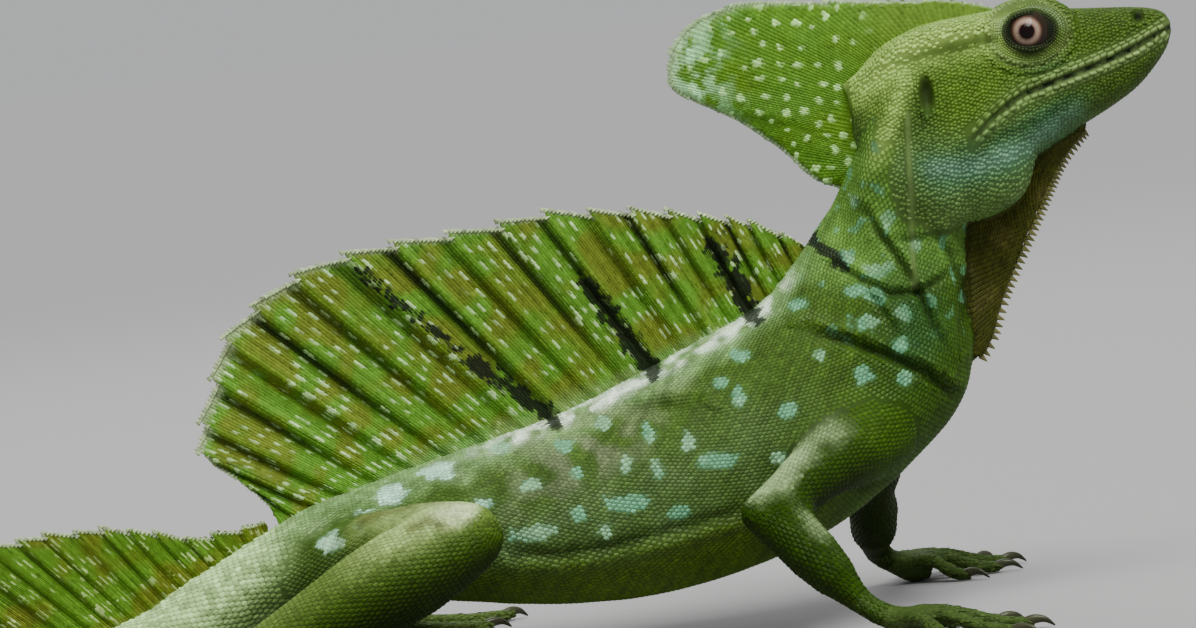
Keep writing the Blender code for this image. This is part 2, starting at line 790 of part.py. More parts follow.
def build_limbs():
    """All four limbs."""
    arm = (UPPER_ARM_SHAPE, FOREARM_SHAPE)
    leg = (THIGH_SHAPE, SHANK_SHAPE)
    for word, side, fore, hind in (("right", -1, FORELEG_RIGHT, HINDLEG_RIGHT), ("left", 1, FORELEG_LEFT, HINDLEG_LEFT)):
        arm_names = [f"{part}_{word}" for part in ("upper_arm", "forearm", "hand")]
        leg_names = [f"{part}_{word}" for part in ("thigh", "shank", "foot")]
        build_limb(arm_names, fore, arm, PALM, HAND_DIGITS, HAND_HEADING[side], side)
        build_limb(leg_names, hind, leg, SOLE, FOOT_DIGITS, FOOT_HEADING[side], side)


# The whole animal


def build_body():
    """Neck, torso and the lengths of the tail. The neck ends where it meets the head."""
    for name, (first, last, count) in BODY_LENGTHS.items():
        obj = body_length(name, first, last, count)
        if name == "neck":
            combine(obj, [head_solid("grown_head", JOIN_GAP)], "DIFFERENCE")
            keep_largest(obj)


def settle():
    """Sets each part on the shared root, with the origin below the middle of the animal."""
    shift = Vector((-CENTRE_X, -CENTRE_Y, 0.0))
    for obj in list(PARTS.objects):
        if obj.type != "MESH":
            continue
        corners = [v.co for v in obj.data.vertices]
        middle = sum(corners, Vector()) / len(corners)
        obj.data.transform(Matrix.Translation(-middle))
        obj.location = middle + shift
        obj.parent = ROOT
        obj.data.shade_smooth()
        obj.data.set_sharp_from_angle(angle=math.radians(50))


clear_scene()
build_body()
build_head()
build_eyes()
build_crests()
build_limbs()
settle()
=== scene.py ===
# %% [markdown]
# The solid model comes first, as a fixed frame: every piece below replaces some of its solids or lies
# over them.

# %% Loading the solid model
import itertools
import math

import bmesh
import bpy
import numpy as np
from mathutils import Matrix, Vector, noise
from mathutils.bvhtree import BVHTree


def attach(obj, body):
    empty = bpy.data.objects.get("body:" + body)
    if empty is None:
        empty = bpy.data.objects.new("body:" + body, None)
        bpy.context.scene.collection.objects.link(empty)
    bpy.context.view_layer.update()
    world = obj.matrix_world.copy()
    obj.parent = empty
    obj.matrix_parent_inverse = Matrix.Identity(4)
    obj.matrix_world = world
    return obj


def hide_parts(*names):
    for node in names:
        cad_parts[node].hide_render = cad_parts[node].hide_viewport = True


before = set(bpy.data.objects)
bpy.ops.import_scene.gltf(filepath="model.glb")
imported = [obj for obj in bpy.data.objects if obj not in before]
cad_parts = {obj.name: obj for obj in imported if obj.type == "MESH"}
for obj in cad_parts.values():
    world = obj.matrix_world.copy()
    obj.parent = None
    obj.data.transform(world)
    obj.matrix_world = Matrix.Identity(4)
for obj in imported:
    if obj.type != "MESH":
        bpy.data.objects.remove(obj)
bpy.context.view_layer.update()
print("solid nodes:", len(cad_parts))

# %% [markdown]
# The animal is a male green basilisk. It is measured in millimetres from a point on the floor below
# its chin, because that is how its sections are easiest to read against its picture. One function
# turns those sizes into metres in the solid model's frame, whose origin lies below the middle of the
# whole animal. Working in one place for the change of frame keeps every later number a plain size.

# %% Sizes and the change of frame
MM = 0.001
CENTRE_X = -270.5
RIGHT, LEFT = -1, 1
SCATTER = np.random.default_rng(41)


def to_model(points):
    """Millimetres from below the chin, as metres in the model's frame."""
    return (np.asarray(points, dtype=float) - (CENTRE_X, 0.0, 0.0)) * MM


def to_sizes(points):
    """The other way round."""
    return np.asarray(points, dtype=float) / MM + (CENTRE_X, 0.0, 0.0)


# %% Tables of body and head
# Highest point (x, z), lowest point (x, z), half width and lean to the left, from nape to tail tip.
BODY_SECTIONS = np.array((
    (-4, 94, 12, 84, 9.5, 0),
    (-9, 85.5, 12, 76, 9.3, 0),
    (-13, 78.5, 10.5, 67, 9.4, 0),
    (-17.5, 73.3, 9.8, 57.5, 10.6, 0),
    (-22, 68, 10.2, 48.5, 12.8, 0),
    (-27.5, 62.8, 7, 38.8, 15, 0),
    (-34.5, 59, -2.5, 29.5, 16.6, 0),
    (-44, 55.3, -16, 20.3, 17.3, 0),
    (-55, 50.8, -33, 13.6, 18.3, 0),
    (-68, 46.2, -52, 10, 19, 0),
    (-82, 42.8, -72, 10.2, 18.6, 0),
    (-96, 39.6, -90, 13, 16, 0),
    (-109, 36.6, -105, 14.8, 13, 0),
    (-120, 33.8, -116.5, 14.6, 10.6, 0),
    (-131, 28.6, -126.5, 11.6, 9.2, 0),
    (-142, 22.8, -137, 6.9, 8.3, 0),
    (-152.5, 17.6, -148.5, 1.9, 7.6, 0),
    (-165, 14.2, -163.5, -0.3, 7, 0.2),
    (-190, 12.3, -190, -0.3, 6.1, 1.2),
    (-230, 10.6, -230, -0.3, 5.3, 4.2),
    (-285, 8.8, -285, -0.3, 4.4, 9.2),
    (-345, 7.1, -345, -0.3, 3.5, 13),
    (-410, 5.4, -410, -0.3, 2.7, 11.5),
    (-475, 4, -475, -0.25, 1.9, 4),
    (-540, 2.7, -540, -0.2, 1.3, -7),
    (-595, 1.5, -595, -0.1, 0.8, -17),
))
# Head sections from the back of the skull to the snout: x, crown, lips, chin, half width.
HEAD_SECTIONS = np.array((
    (-7.5, 99.8, 95.5, 91, 3.2),
    (-5.5, 102.6, 93.5, 84.5, 7.2),
    (-1.5, 106.4, 91, 78.6, 10.8),
    (3, 108.8, 89.3, 76, 12.8),
    (8, 110.3, 88, 75.9, 13.5),
    (13.6, 110.9, 88.3, 77.6, 13.2),
    (18.5, 111.2, 91.8, 79.7, 12.2),
    (24, 111.5, 95, 82.2, 10.9),
    (30, 111, 96.7, 85.2, 9.6),
    (36, 110, 98.2, 88.1, 8),
    (42, 109.4, 99.8, 91, 6.5),
    (47, 108.9, 101.4, 94, 5.3),
    (51, 108.2, 103.1, 97.8, 4.1),
    (53.3, 107.1, 104.1, 100.8, 2.8),
    (54.4, 105.6, 104.5, 103.3, 1.2),
))


# %% Curves through the tables
def smooth_rows(rows, place):
    """Values at fractional places in a table, on smooth curves through its rows."""
    rows = np.asarray(rows, dtype=float)
    last = len(rows) - 1
    place = np.clip(np.asarray(place, dtype=float), 0.0, last)
    first = np.minimum(place.astype(int), last - 1)
    t = (place - first)[..., None]
    a, b = rows[np.maximum(first - 1, 0)], rows[first]
    c, d = rows[first + 1], rows[np.minimum(first + 2, last)]
    return 0.5 * (2 * b + (c - a) * t + (2 * a - 5 * b + 4 * c - d) * t**2 + (3 * b - a - 3 * c + d) * t**3)


def rows_for(rows, key):
    """Smooth rows whose first values are the given keys. First values rise from row to row."""
    rows = np.asarray(rows, dtype=float)
    return smooth_rows(rows, np.interp(key, rows[:, 0], np.arange(len(rows))))


def rounded(angle, power):
    """Cosine and sine on a rounded box: a power of 2 is an ellipse, more is boxier."""
    c, s = np.cos(angle), np.sin(angle)
    return np.sign(c) * np.abs(c) ** (2.0 / power), np.sign(s) * np.abs(s) ** (2.0 / power)


def unit(vectors):
    """Vectors at length one."""
    return vectors / np.maximum(np.linalg.norm(vectors, axis=-1, keepdims=True), 1e-12)


def hill(away, width, power=2):
    """1 where away is 0, and falling to 0 on both sides over a width. More power gives steeper sides."""
    return np.exp(-((away / width) ** power))


def lengths_to(steps):
    """The length of a path up to each of its points, from the lengths of its steps."""
    return np.concatenate(([0.0], np.cumsum(steps)))


print("snout to tail tip:", HEAD_SECTIONS[-1, 0] - BODY_SECTIONS[-1, 0], "mm")

# %% [markdown]
# The body, neck and tail are one long tube of unlike sections. A section is an ellipse above and a
# boxier curve below, held between its highest and lowest points. Subdividing a box cage would be
# quicker to draw, but sections from a table keep the back line and belly line exactly where they
# belong, and the same function later says where each scale sits.

# %% Surfaces of body and head
BACK_POWER, BELLY_POWER, WIDEST_AT = 1.85, 2.3, 0.46
CROWN_POWER, CHIN_POWER, LIP_SWELL = 2.6, 2.0, 0.35
MOUTH_CORNER_X, LIP_HEIGHT, MOUTH_DEPTH, LIP_SHARE = 13.6, 1.0, 0.9, 0.09


def section_middle(row):
    """The middle of a body section, between its highest and lowest points."""
    return np.stack(((row[..., 0] + row[..., 2]) / 2, row[..., 5], (row[..., 1] + row[..., 3]) / 2), axis=-1)


def body_axis(place):
    """Direction from head to tail at places along the body."""
    before, after = (smooth_rows(BODY_SECTIONS, place + step) for step in (-0.05, 0.05))
    return unit(section_middle(after) - section_middle(before))


def body_point(place, angle, grow=0.0):
    """Points on the body, in millimetres. Angle 0 is the back and pi is the belly."""
    place = np.asarray(place, dtype=float)
    row = smooth_rows(BODY_SECTIONS, place)
    top = np.stack((row[..., 0], row[..., 5], row[..., 1]), axis=-1)
    low = np.stack((row[..., 2], row[..., 5], row[..., 3]), axis=-1)
    middle = low + (top - low) * WIDEST_AT
    up, down = top - middle, low - middle
    side = unit(np.cross(body_axis(place), up))
    back, belly = rounded(angle, BACK_POWER), rounded(angle, BELLY_POWER)
    c = np.where(np.cos(angle) > 0, back[0], belly[0])[..., None]
    s = np.where(np.cos(angle) > 0, back[1], belly[1])[..., None]
    half = row[..., 4:5] + grow
    point = middle + np.where(c > 0, up * c, down * -c) + side * s * half
    point = point + unit(np.where(c > 0, up, down)) * np.abs(c) * grow
    point[..., 2] = np.maximum(point[..., 2], 0.0)
    return point


def head_point(place, angle):
    """Points on the head, in millimetres. Angle 0 is the crown, and the lips are at half pi."""
    row = smooth_rows(HEAD_SECTIONS, place)
    x, crown, lips, chin, half = (row[..., i] for i in range(5))
    side = np.where(np.sin(angle) >= 0, 1.0, -1.0)
    turn = np.arccos(np.clip(np.cos(angle), -1, 1)) / (math.pi / 2)
    mouth = np.clip((x - MOUTH_CORNER_X) / 4.0, 0.0, 1.0)
    lip = LIP_HEIGHT * np.minimum(1.0, (crown - chin) / 14.0)
    upper = rounded(np.minimum(turn / (1 - LIP_SHARE), 1) * math.pi / 2, CROWN_POWER)
    lower = rounded(np.minimum((2 - turn) / (1 - LIP_SHARE), 1) * math.pi / 2, CHIN_POWER)
    above = turn <= 1
    out = half * np.where(above, upper[1], lower[1])
    up = np.where(above, lips + lip + (crown - lips - lip) * upper[0], lips - lip + (chin - lips + lip) * lower[0])
    near = np.abs(turn - 1) / LIP_SHARE
    up = np.where(near < 1, lips + lip * np.sign(1 - turn) * np.minimum(near * 1.6, 1.0), up)
    depth = np.minimum(MOUTH_DEPTH, half * 0.4) * mouth
    out = out + LIP_SWELL * mouth * np.exp(-((near - 1.0) ** 2) / 0.5) - depth * hill(near, 0.35)
    return np.stack((x, side * np.maximum(out, 0.0), up), axis=-1)


# %% Forms of body and head
def sheet(point_at, along, around, closed=True):
    """A bmesh grid bent into a tube by a function of two numbers from 0 to 1, with its ends closed."""
    bm = bmesh.new()
    bmesh.ops.create_grid(bm, x_segments=along, y_segments=around, size=1.0)
    flat = np.array([v.co[:2] for v in bm.verts])
    places = to_model(point_at((flat[:, 0] + 1) / 2, (flat[:, 1] + 1) / 2))
    for vert, place in zip(bm.verts, places):
        vert.co = place
    bmesh.ops.remove_doubles(bm, verts=bm.verts, dist=1e-7)
    if closed:
        bmesh.ops.holes_fill(bm, edges=[e for e in bm.edges if e.is_boundary], sides=0)
        bmesh.ops.triangulate(bm, faces=[f for f in bm.faces if len(f.verts) > 4])
    bmesh.ops.recalc_face_normals(bm, faces=bm.faces)
    return bm


LAST_SECTION, LAST_HEAD_SECTION = len(BODY_SECTIONS) - 1, len(HEAD_SECTIONS) - 1
body_form = sheet(lambda u, v: body_point(u * LAST_SECTION, v * 2 * math.pi), 760, 72)
head_form = sheet(lambda u, v: head_point(u * LAST_HEAD_SECTION, v * 2 * math.pi), 150, 144)
print("body and head forms:", len(body_form.verts), len(head_form.verts), "points")

# %% [markdown]
# A limb is a bent tube whose thickness follows the muscles. Each bone's flesh is given as shares of
# the bone's length and radii, as in the solid model, so the two agree. A curve with a bevel would
# make a tube too, but it can only be round, and a lizard's thigh and sole are not.

# %% Limbs, hands and feet
FORELEGS = {
    RIGHT: ((-8.0, 9.0, 37.5), (-32.6, 30.0, 26.3), (-16.8, 36.5, 6.2)),
    LEFT: ((-8.0, 9.0, 37.5), (-10.0, 31.0, 20.4), (-10.5, 48.0, 6.2)),
}
HINDLEGS = {
    RIGHT: ((-117.0, 5.0, 21.0), (-86.0, 34.5, 28.6), (-137.0, 38.0, 7.4)),
    LEFT: ((-117.0, 5.0, 21.0), (-90.0, 35.5, 25.0), (-139.0, 40.5, 7.4)),
}
UPPER_ARM = ((-0.18, 2.5), (0.0, 7.6), (0.3, 7.2), (0.6, 5.8), (0.88, 5.0), (1.1, 4.6), (1.2, 2.0))
FOREARM = ((-0.16, 2.0), (-0.06, 4.4), (0.2, 5.5), (0.5, 4.7), (0.8, 3.6), (1.02, 3.1), (1.14, 1.4))
THIGH = ((-0.12, 3.0), (0.0, 8.2), (0.3, 9.2), (0.6, 8.6), (0.9, 7.4), (1.04, 5.9), (1.12, 2.8))
SHANK = ((-0.1, 2.8), (-0.04, 6.2), (0.17, 8.3), (0.4, 8.2), (0.7, 5.9), (1.0, 3.6), (1.08, 1.6))
HAND_DIGITS = ((-48.0, 9.5, 1.5), (-22.0, 16.0, 1.55), (0.0, 20.5, 1.6), (20.0, 20.5, 1.55), (46.0, 14.0, 1.45))
FOOT_DIGITS = ((-34.0, 15.0, 1.6), (-16.0, 24.0, 1.7), (-2.0, 34.0, 1.75), (12.0, 43.0, 1.8), (40.0, 26.0, 1.6))
HAND_HEADING = {RIGHT: 10.0, LEFT: 22.0}
FOOT_HEADING = {RIGHT: 14.0, LEFT: 17.0}
PALM, SOLE = (10.0, 4.2, 2.9), (21.0, 4.6, 3.0)
CLAW_LENGTH, FLOOR_SHARE, PAD_PRESS = 4.2, 0.52, 1.3
TOE_ARCH = ((0.0, 0.0, 1.25), (0.18, 1.7, 1.15), (0.42, 2.0, 1.0), (0.68, 0.7, 0.98), (0.88, 0.1, 0.95), (0.97, 0.1, 0.75))
CLAW_SLIM = 0.74
CLAW_ARCH = ((-0.25, 0.3, 0.72), (0.15, 0.8, 0.62), (0.6, 0.55, 0.4), (1.0, -0.7, 0.1))


# %% How a limb is made
class Limb:
    """A tube along a smooth path, with a radius at each step. Flat squeezes it in height."""

    def __init__(self, path, radii, flat=1.0):
        self.path = np.asarray(path, dtype=float)
        self.radii = np.asarray(radii, dtype=float)
        self.flat = flat
        self.length = float(np.linalg.norm(np.diff(self.path, axis=0), axis=1).sum())

    def heading(self, share):
        """Direction of the path at shares of its steps."""
        steps = len(self.path) - 1
        ahead = smooth_rows(self.path, np.minimum(share + 0.01, 1) * steps)
        return unit(ahead - smooth_rows(self.path, np.maximum(share - 0.01, 0) * steps))

    def radius(self, share):
        """Radius in millimetres at shares of the path."""
        return smooth_rows(self.radii[:, None], share * (len(self.radii) - 1))[..., 0]

    def point(self, share, turn):
        """Points on the tube, at shares of its path and of a full turn. A turn of 0 is on top."""
        share, turn = np.broadcast_arrays(share, turn)
        ahead = self.heading(share)
        side = unit(np.cross(ahead, (0.0, 0.0, 1.0)))
        up = np.cross(side, ahead)
        middle = smooth_rows(self.path, share * (len(self.path) - 1))
        angle = turn * 2 * math.pi
        out = side * np.sin(angle)[..., None] + up * (np.cos(angle) * self.flat)[..., None]
        point = middle + out * np.maximum(self.radius(share), 0.05)[..., None]
        point[..., 2] = np.maximum(point[..., 2], 0.0)
        return point

    def form(self, along, around):
        """The closed bmesh of the tube."""
        return sheet(self.point, along, around)


# %% Joints, palms and toes
def joints_of(places, side):
    """The joints of a limb on one side, in millimetres."""
    return [np.array((x, side * out, z)) for x, out, z in places]


def flesh(start, end, shape):
    """The flesh round one bone."""
    shape = np.asarray(shape)
    return Limb([start + (end - start) * s for s in shape[:, 0]], shape[:, 1])


def toes_of(joints, pad, digits, heading_angle, side):
    """The pad of a hand or foot, its toes, and its claws, all as tubes."""
    wrist = joints[2]
    turn = math.radians(side * heading_angle)
    heading = np.array((math.cos(turn), math.sin(turn), 0.0))
    length, half_width, height = pad
    front = wrist + heading * length
    front[2] = height - PAD_PRESS
    shares, widths = (-0.28, -0.12, 0.2, 0.6, 1.0, 1.15), (0.3, 0.75, 0.95, 1.0, 0.85, 0.35)
    palm = Limb([wrist + (front - wrist) * s for s in shares], [half_width * w for w in widths], height / half_width)
    toes, claws = [], []
    for angle, reach, radius in digits:
        toe_turn = math.radians(side * (heading_angle + angle))
        ahead = np.array((math.cos(toe_turn), math.sin(toe_turn), 0.0))
        across = -np.cross(heading, (0.0, 0.0, 1.0))
        root = wrist + (front - wrist) * 0.62 + across * math.sin(math.radians(side * angle)) * half_width * 0.85
        reach += length * 0.38
        level = radius * FLOOR_SHARE
        path = []
        for share, lift, swell in TOE_ARCH:
            point = root + ahead * reach * share
            point[2] = root[2] + (level - root[2]) * min(share * 1.3, 1.0) + lift
            path.append(point)
        toes.append(Limb(path, [radius * swell for _, _, swell in TOE_ARCH], 0.9))
        path = []
        for share, lift, swell in CLAW_ARCH:
            point = root + ahead * (reach * 0.95 + CLAW_LENGTH * share)
            point[2] = level + lift
            path.append(point)
        claws.append(Limb(path, [radius * swell * CLAW_SLIM for _, _, swell in CLAW_ARCH], 1.2))
    return palm, toes, claws


# %% The four limbs
limbs, all_claws = {}, []
for word, side in (("right", RIGHT), ("left", LEFT)):
    for kind, places, shapes, pad, digits, angle in (
        ("fore", FORELEGS[side], (UPPER_ARM, FOREARM), PALM, HAND_DIGITS, HAND_HEADING[side]),
        ("hind", HINDLEGS[side], (THIGH, SHANK), SOLE, FOOT_DIGITS, FOOT_HEADING[side]),
    ):
        joints = joints_of(places, side)
        palm, toes, claws = toes_of(joints, pad, digits, angle, side)
        limbs[kind, word] = {
            "upper": flesh(joints[0], joints[1], shapes[0]),
            "lower": flesh(joints[1], joints[2], shapes[1]),
            "palm": palm,
            "toes": toes,
            "joints": joints,
        }
        all_claws += claws
print("limbs:", list(limbs))

# %% [markdown]
# The head carries more forms than its sections give: the brow over each eye, the rim of the two
# eyelids, the swollen jowl and the thin throat fan. They are separate closed forms at this stage,
# because they are easier to place that way, and the next step melts them into one skin.

# %% Brows, lids and throat fan
EYE_CENTRE, EYE_RADIUS = (26.95, 6.5, 106.75), 4.7
BROW_CENTRE, BROW_RADII = (27.7, 4.6, 106.2), (9.4, 5.2, 6.9)
LID_OPENING, LID_THICKNESS, LID_OUT, LID_LEAN = (4.95, 3.45), 0.75, 8.7, (8.0, 12.0)
LID_CENTRE = (EYE_CENTRE[0], LID_OUT, EYE_CENTRE[2])
JOWL_CENTRE, JOWL_RADII = (5.6, 5.2, 83.0), (11.0, 8.3, 12.2)
JOWL_FRONT_CENTRE, JOWL_FRONT_RADII = (13.2, 4.8, 84.0), (13.0, 7.6, 11.0)
TEMPLE_BAND = ((23.0, 8.0, 107.6), (13.0, 9.8, 107.9), (4.0, 9.0, 105.9), (-3.0, 5.4, 101.8), (-7.6, 1.6, 99.8))
NECK_COLUMN = ((1.0, 5.2, 98.0), (-0.6, 5.2, 88.0), (-4.2, 4.4, 76.0), (-7.5, 3.0, 66.0))
# Lines of the throat fan: share, x, z.
DEWLAP_BASE = (
    (0, 34, 89), (0.3, 20, 83), (0.5, 10, 77), (0.7, 7.5, 65), (0.85, 8, 55), (1, 6, 46),
)
DEWLAP_EDGE = (
    (0, 36.5, 87), (0.2, 31.2, 81.2), (0.4, 27.2, 74.6), (0.6, 22.6, 66.6), (0.8, 17.6, 57.4),
    (0.93, 14.6, 50.2), (1, 12, 46.6),
)


def beside(point, side):
    """The same point on one side of the animal."""
    return point[0], side * point[1], point[2]


def ball_form(centre, radii):
    """A closed ball stretched along the axes, in millimetres."""
    bm = bmesh.new()
    bmesh.ops.create_uvsphere(bm, u_segments=48, v_segments=28, radius=MM)
    bmesh.ops.scale(bm, vec=radii, verts=bm.verts)
    bmesh.ops.translate(bm, vec=to_model(centre), verts=bm.verts)
    return bm


# %% Lids over the ball of the eye
def lid_matrix(side):
    """The plane of an eye's opening, with X along the eye and Z up it."""
    tip, turn = (math.radians(side * angle) for angle in LID_LEAN)
    centre = Matrix.Translation(to_model(beside(LID_CENTRE, side)))
    return centre @ Matrix.Rotation(tip, 4, "X") @ Matrix.Rotation(-turn, 4, "Z")


def lid_rise(away):
    """How far lids rise out of the plane of the opening to clear the ball, at a distance from its middle."""
    ball = np.sqrt(np.maximum((EYE_RADIUS + 0.1) ** 2 - np.asarray(away) ** 2, 0))
    return np.clip(EYE_CENTRE[1] + ball - LID_OUT - 0.25, -0.2, 1.3)


def moved_by(matrix, points):
    """Points turned and moved by a matrix."""
    return points @ matrix[:3, :3].T + matrix[:3, 3]


def lid_point(side):
    """The rim of the lids as a closed tube round the opening, as a function of two shares."""
    matrix = np.array(lid_matrix(side))

    def point(u, v):
        around, across = u * 2 * math.pi, v * 2 * math.pi
        thick = LID_THICKNESS * (1.0 + 0.25 * np.abs(np.sin(around)))
        out = 1 + thick * np.cos(across) / LID_OPENING[1]
        almond = 1 - 0.06 * np.abs(np.cos(around)) ** 6
        rise = lid_rise(np.hypot(np.cos(around) * LID_OPENING[0], np.sin(around) * LID_OPENING[1]))
        local = np.stack((
            np.cos(around) * LID_OPENING[0] * out,
            side * (rise + thick * np.sin(across)),
            np.sin(around) * LID_OPENING[1] * out * almond,
        ), axis=-1) * MM
        return to_sizes(moved_by(matrix, local))

    return point


# %% The fan and the bands of muscle
def fan_sway(share, up):
    """How far the throat fan waves to the left."""
    return 0.5 * up * np.sin(share * 9.0)


def fan_form(base, edge, thick):
    """A closed upright plate between two lines, thinner towards its free edge."""

    def point(u, v):
        up = 1 - np.abs(2 * v - 1)
        side = np.where(v < 0.5, -1.0, 1.0)
        low, high = rows_for(base, u), rows_for(edge, u)
        x, z = (low[:, i] + (high[:, i] - low[:, i]) * up for i in (1, 2))
        width = (thick[0] + (thick[1] - thick[0]) * up) / 2 * np.sqrt(np.clip(1 - up**12, 0, 1))
        return np.stack((x, fan_sway(u, up) + side * width, z), axis=-1)

    return sheet(point, 120, 60)


def band_form(points, side, radii, along, around):
    """A closed tube on one side of the animal."""
    return Limb([beside(point, side) for point in points], radii).form(along, around)


# %% All the forms of head and neck
extra_forms = {"dewlap": fan_form(DEWLAP_BASE, DEWLAP_EDGE, (4.4, 1.5))}
for end, side in (("r", RIGHT), ("l", LEFT)):
    extra_forms[f"brow_{end}"] = ball_form(beside(BROW_CENTRE, side), BROW_RADII)
    extra_forms[f"lid_{end}"] = sheet(lid_point(side), 72, 20)
    extra_forms[f"jowl_{end}"] = ball_form(beside(JOWL_CENTRE, side), JOWL_RADII)
    extra_forms[f"jowl_front_{end}"] = ball_form(beside(JOWL_FRONT_CENTRE, side), JOWL_FRONT_RADII)
    extra_forms[f"temple_{end}"] = band_form(TEMPLE_BAND, side, (2.0, 2.7, 2.8, 2.3, 1.4), 60, 24)
    extra_forms[f"column_{end}"] = band_form(NECK_COLUMN, side, (5.0, 6.2, 5.8, 5.0), 50, 36)
print("extra head forms:", len(extra_forms))

# %% [markdown]
# Real skin has no seams where a leg leaves the body, so the forms are remeshed together. A Boolean
# union would keep every crease sharp, while a voxel remesh gives even faces all over, which can
# then be smoothed where limbs join and pushed in and out for folds. The head and neck are divided
# once more because lids, lips and neck folds are finer than the voxels, and the head's points are
# drawn back to the forms.

# %% One skin over all the forms
VOXEL = 1.05


def linked(name, data):
    """A new object of the scene that shows a mesh, light or camera."""
    obj = bpy.data.objects.new(name, data)
    bpy.context.scene.collection.objects.link(obj)
    return obj


def object_from(name, bm):
    """An object made from a bmesh."""
    mesh = bpy.data.meshes.new(name)
    bm.to_mesh(mesh)
    bm.free()
    return linked(name, mesh)


def coordinates(mesh):
    """A mesh's points as an array in metres."""
    found = np.empty(len(mesh.vertices) * 3)
    mesh.vertices.foreach_get("co", found)
    return found.reshape(-1, 3)


def apply_modifiers(obj):
    """Bakes an object's modifiers into its mesh."""
    graph = bpy.context.evaluated_depsgraph_get()
    mesh = bpy.data.meshes.new_from_object(obj.evaluated_get(graph), depsgraph=graph)
    obj.modifiers.clear()
    obj.data = mesh


def add_form(whole, form):
    """Adds one bmesh to another, and says how many points it brings."""
    held = bpy.data.meshes.new("form")
    form.to_mesh(held)
    whole.from_mesh(held)
    count = len(held.vertices)
    bpy.data.meshes.remove(held)
    return count


def triangles_of(obj):
    """How many triangles an object's faces make."""
    return sum(len(p.vertices) - 2 for p in obj.data.polygons)


def shade_smooth(obj):
    """Smooth shading over an object's faces."""
    for polygon in obj.data.polygons:
        polygon.use_smooth = True


# %% Joining and remeshing
joined = bmesh.new()
form_trees = {"body": BVHTree.FromBMesh(body_form), "head": BVHTree.FromBMesh(head_form)}
pieces = [body_form, head_form] + list(extra_forms.values())
for name, bm in extra_forms.items():
    form_trees[name] = BVHTree.FromBMesh(bm)
for (kind, word), parts in limbs.items():
    for name, along, around in (("upper", 48, 36), ("lower", 48, 36), ("palm", 40, 28)):
        bm = parts[name].form(along, around)
        form_trees[f"{kind}_{name}_{word}"] = BVHTree.FromBMesh(bm)
        pieces.append(bm)
    toe_forms = bmesh.new()
    for toe in parts["toes"]:
        bm = toe.form(48, 14)
        add_form(toe_forms, bm)
        pieces.append(bm)
    form_trees[f"{kind}_toes_{word}"] = BVHTree.FromBMesh(toe_forms)
    toe_forms.free()
for bm in pieces:
    add_form(joined, bm)
    bm.free()
skin = object_from("skin", joined)
remesh = skin.modifiers.new("one_skin", "REMESH")
remesh.mode = "VOXEL"
remesh.voxel_size = VOXEL * MM
apply_modifiers(skin)
bm = bmesh.new()
bm.from_mesh(skin.data)
FINE_FROM_X, FINE_FROM_Z = to_model((-17.0, 0, 46.0))[[0, 2]]
fine = [e for e in bm.edges if all(v.co.x > FINE_FROM_X and v.co.z > FINE_FROM_Z for v in e.verts)]
bmesh.ops.subdivide_edges(bm, edges=fine, cuts=1, use_grid_fill=True)
bmesh.ops.triangulate(bm, faces=[f for f in bm.faces if len(f.verts) > 4])
bm.to_mesh(skin.data)
bm.free()
print("skin:", len(skin.data.vertices), "points,", triangles_of(skin), "triangles")

# %% [markdown]
# Each point of the skin is told which form it came from. The answer is used three times: to draw
# the head's points back to its forms, to colour the skin, and to choose where limbs are smoothed
# into the body.

# %% Which form each point belongs to
ON_FORM, FORM_REACH = 5e-5, 0.0015
FORM_NAMES = list(form_trees)
HEAD_FORMS = [n for n in FORM_NAMES if n.startswith(("head", "brow", "lid", "jowl", "temple"))]
points = coordinates(skin.data)
distance = np.full(len(points), 1.0)
belongs = np.zeros(len(points), dtype=int)
nearest = points.copy()
for index, name in enumerate(FORM_NAMES):
    tree = form_trees[name]
    for i, p in enumerate(points):
        if distance[i] < ON_FORM:
            continue
        where, _, _, far = tree.find_nearest(p, FORM_REACH)
        if where is not None and far < distance[i]:
            distance[i], belongs[i], nearest[i] = far, index, where
snap = (distance < 0.55 * MM)[:, None]
points = np.where(snap, nearest, points)
EDGES = np.empty(len(skin.data.edges) * 2, dtype=int)
skin.data.edges.foreach_get("vertices", EDGES)
EDGES = EDGES.reshape(-1, 2)
NEIGHBOURS = np.bincount(EDGES.ravel(), minlength=len(points))[:, None]


# %% Softening where forms meet
def relax(values, weight, rounds):
    """Moves values towards the mean of their neighbours along the skin's edges."""
    for _ in range(rounds):
        total = np.zeros_like(values)
        for axis in range(values.shape[1]):
            total[:, axis] = np.bincount(EDGES[:, 0], values[EDGES[:, 1], axis], len(values))
            total[:, axis] += np.bincount(EDGES[:, 1], values[EDGES[:, 0], axis], len(values))
        values = values + (total / NEIGHBOURS - values) * weight
    return values


sizes = to_sizes(points)
x, out, z = sizes[:, 0], np.abs(sizes[:, 1]), sizes[:, 2]
melt = np.zeros(len(points))
for (kind, word), parts in limbs.items():
    reach = ((15.0, 8.0, 6.0), (17.0, 10.0, 6.5))[kind == "hind"]
    for joint, radius in zip(parts["joints"], reach):
        if joint is parts["joints"][0]:
            joint = joint + (0.0, math.copysign(radius * 0.35, joint[1]), 0.0)
        melt = np.maximum(melt, np.clip(1.6 - np.linalg.norm(sizes - joint, axis=1) / radius, 0, 1))
behind_jaw = np.clip((14.0 - x) / 8, 0, 1) * np.clip(1.6 - np.abs(z - 84) / 15, 0, 1)
melt = np.maximum(melt, behind_jaw * (x > -16) * (out > 2))
points = relax(points, 0.5 * melt[:, None], 60)
below_jowl = np.clip((11.0 - x) / 6, 0, 1) * np.clip(1.5 - np.abs(z - 71) / 8, 0, 1)
below_jowl *= np.clip((x + 12.0) / 4, 0, 1) * (out > 4)
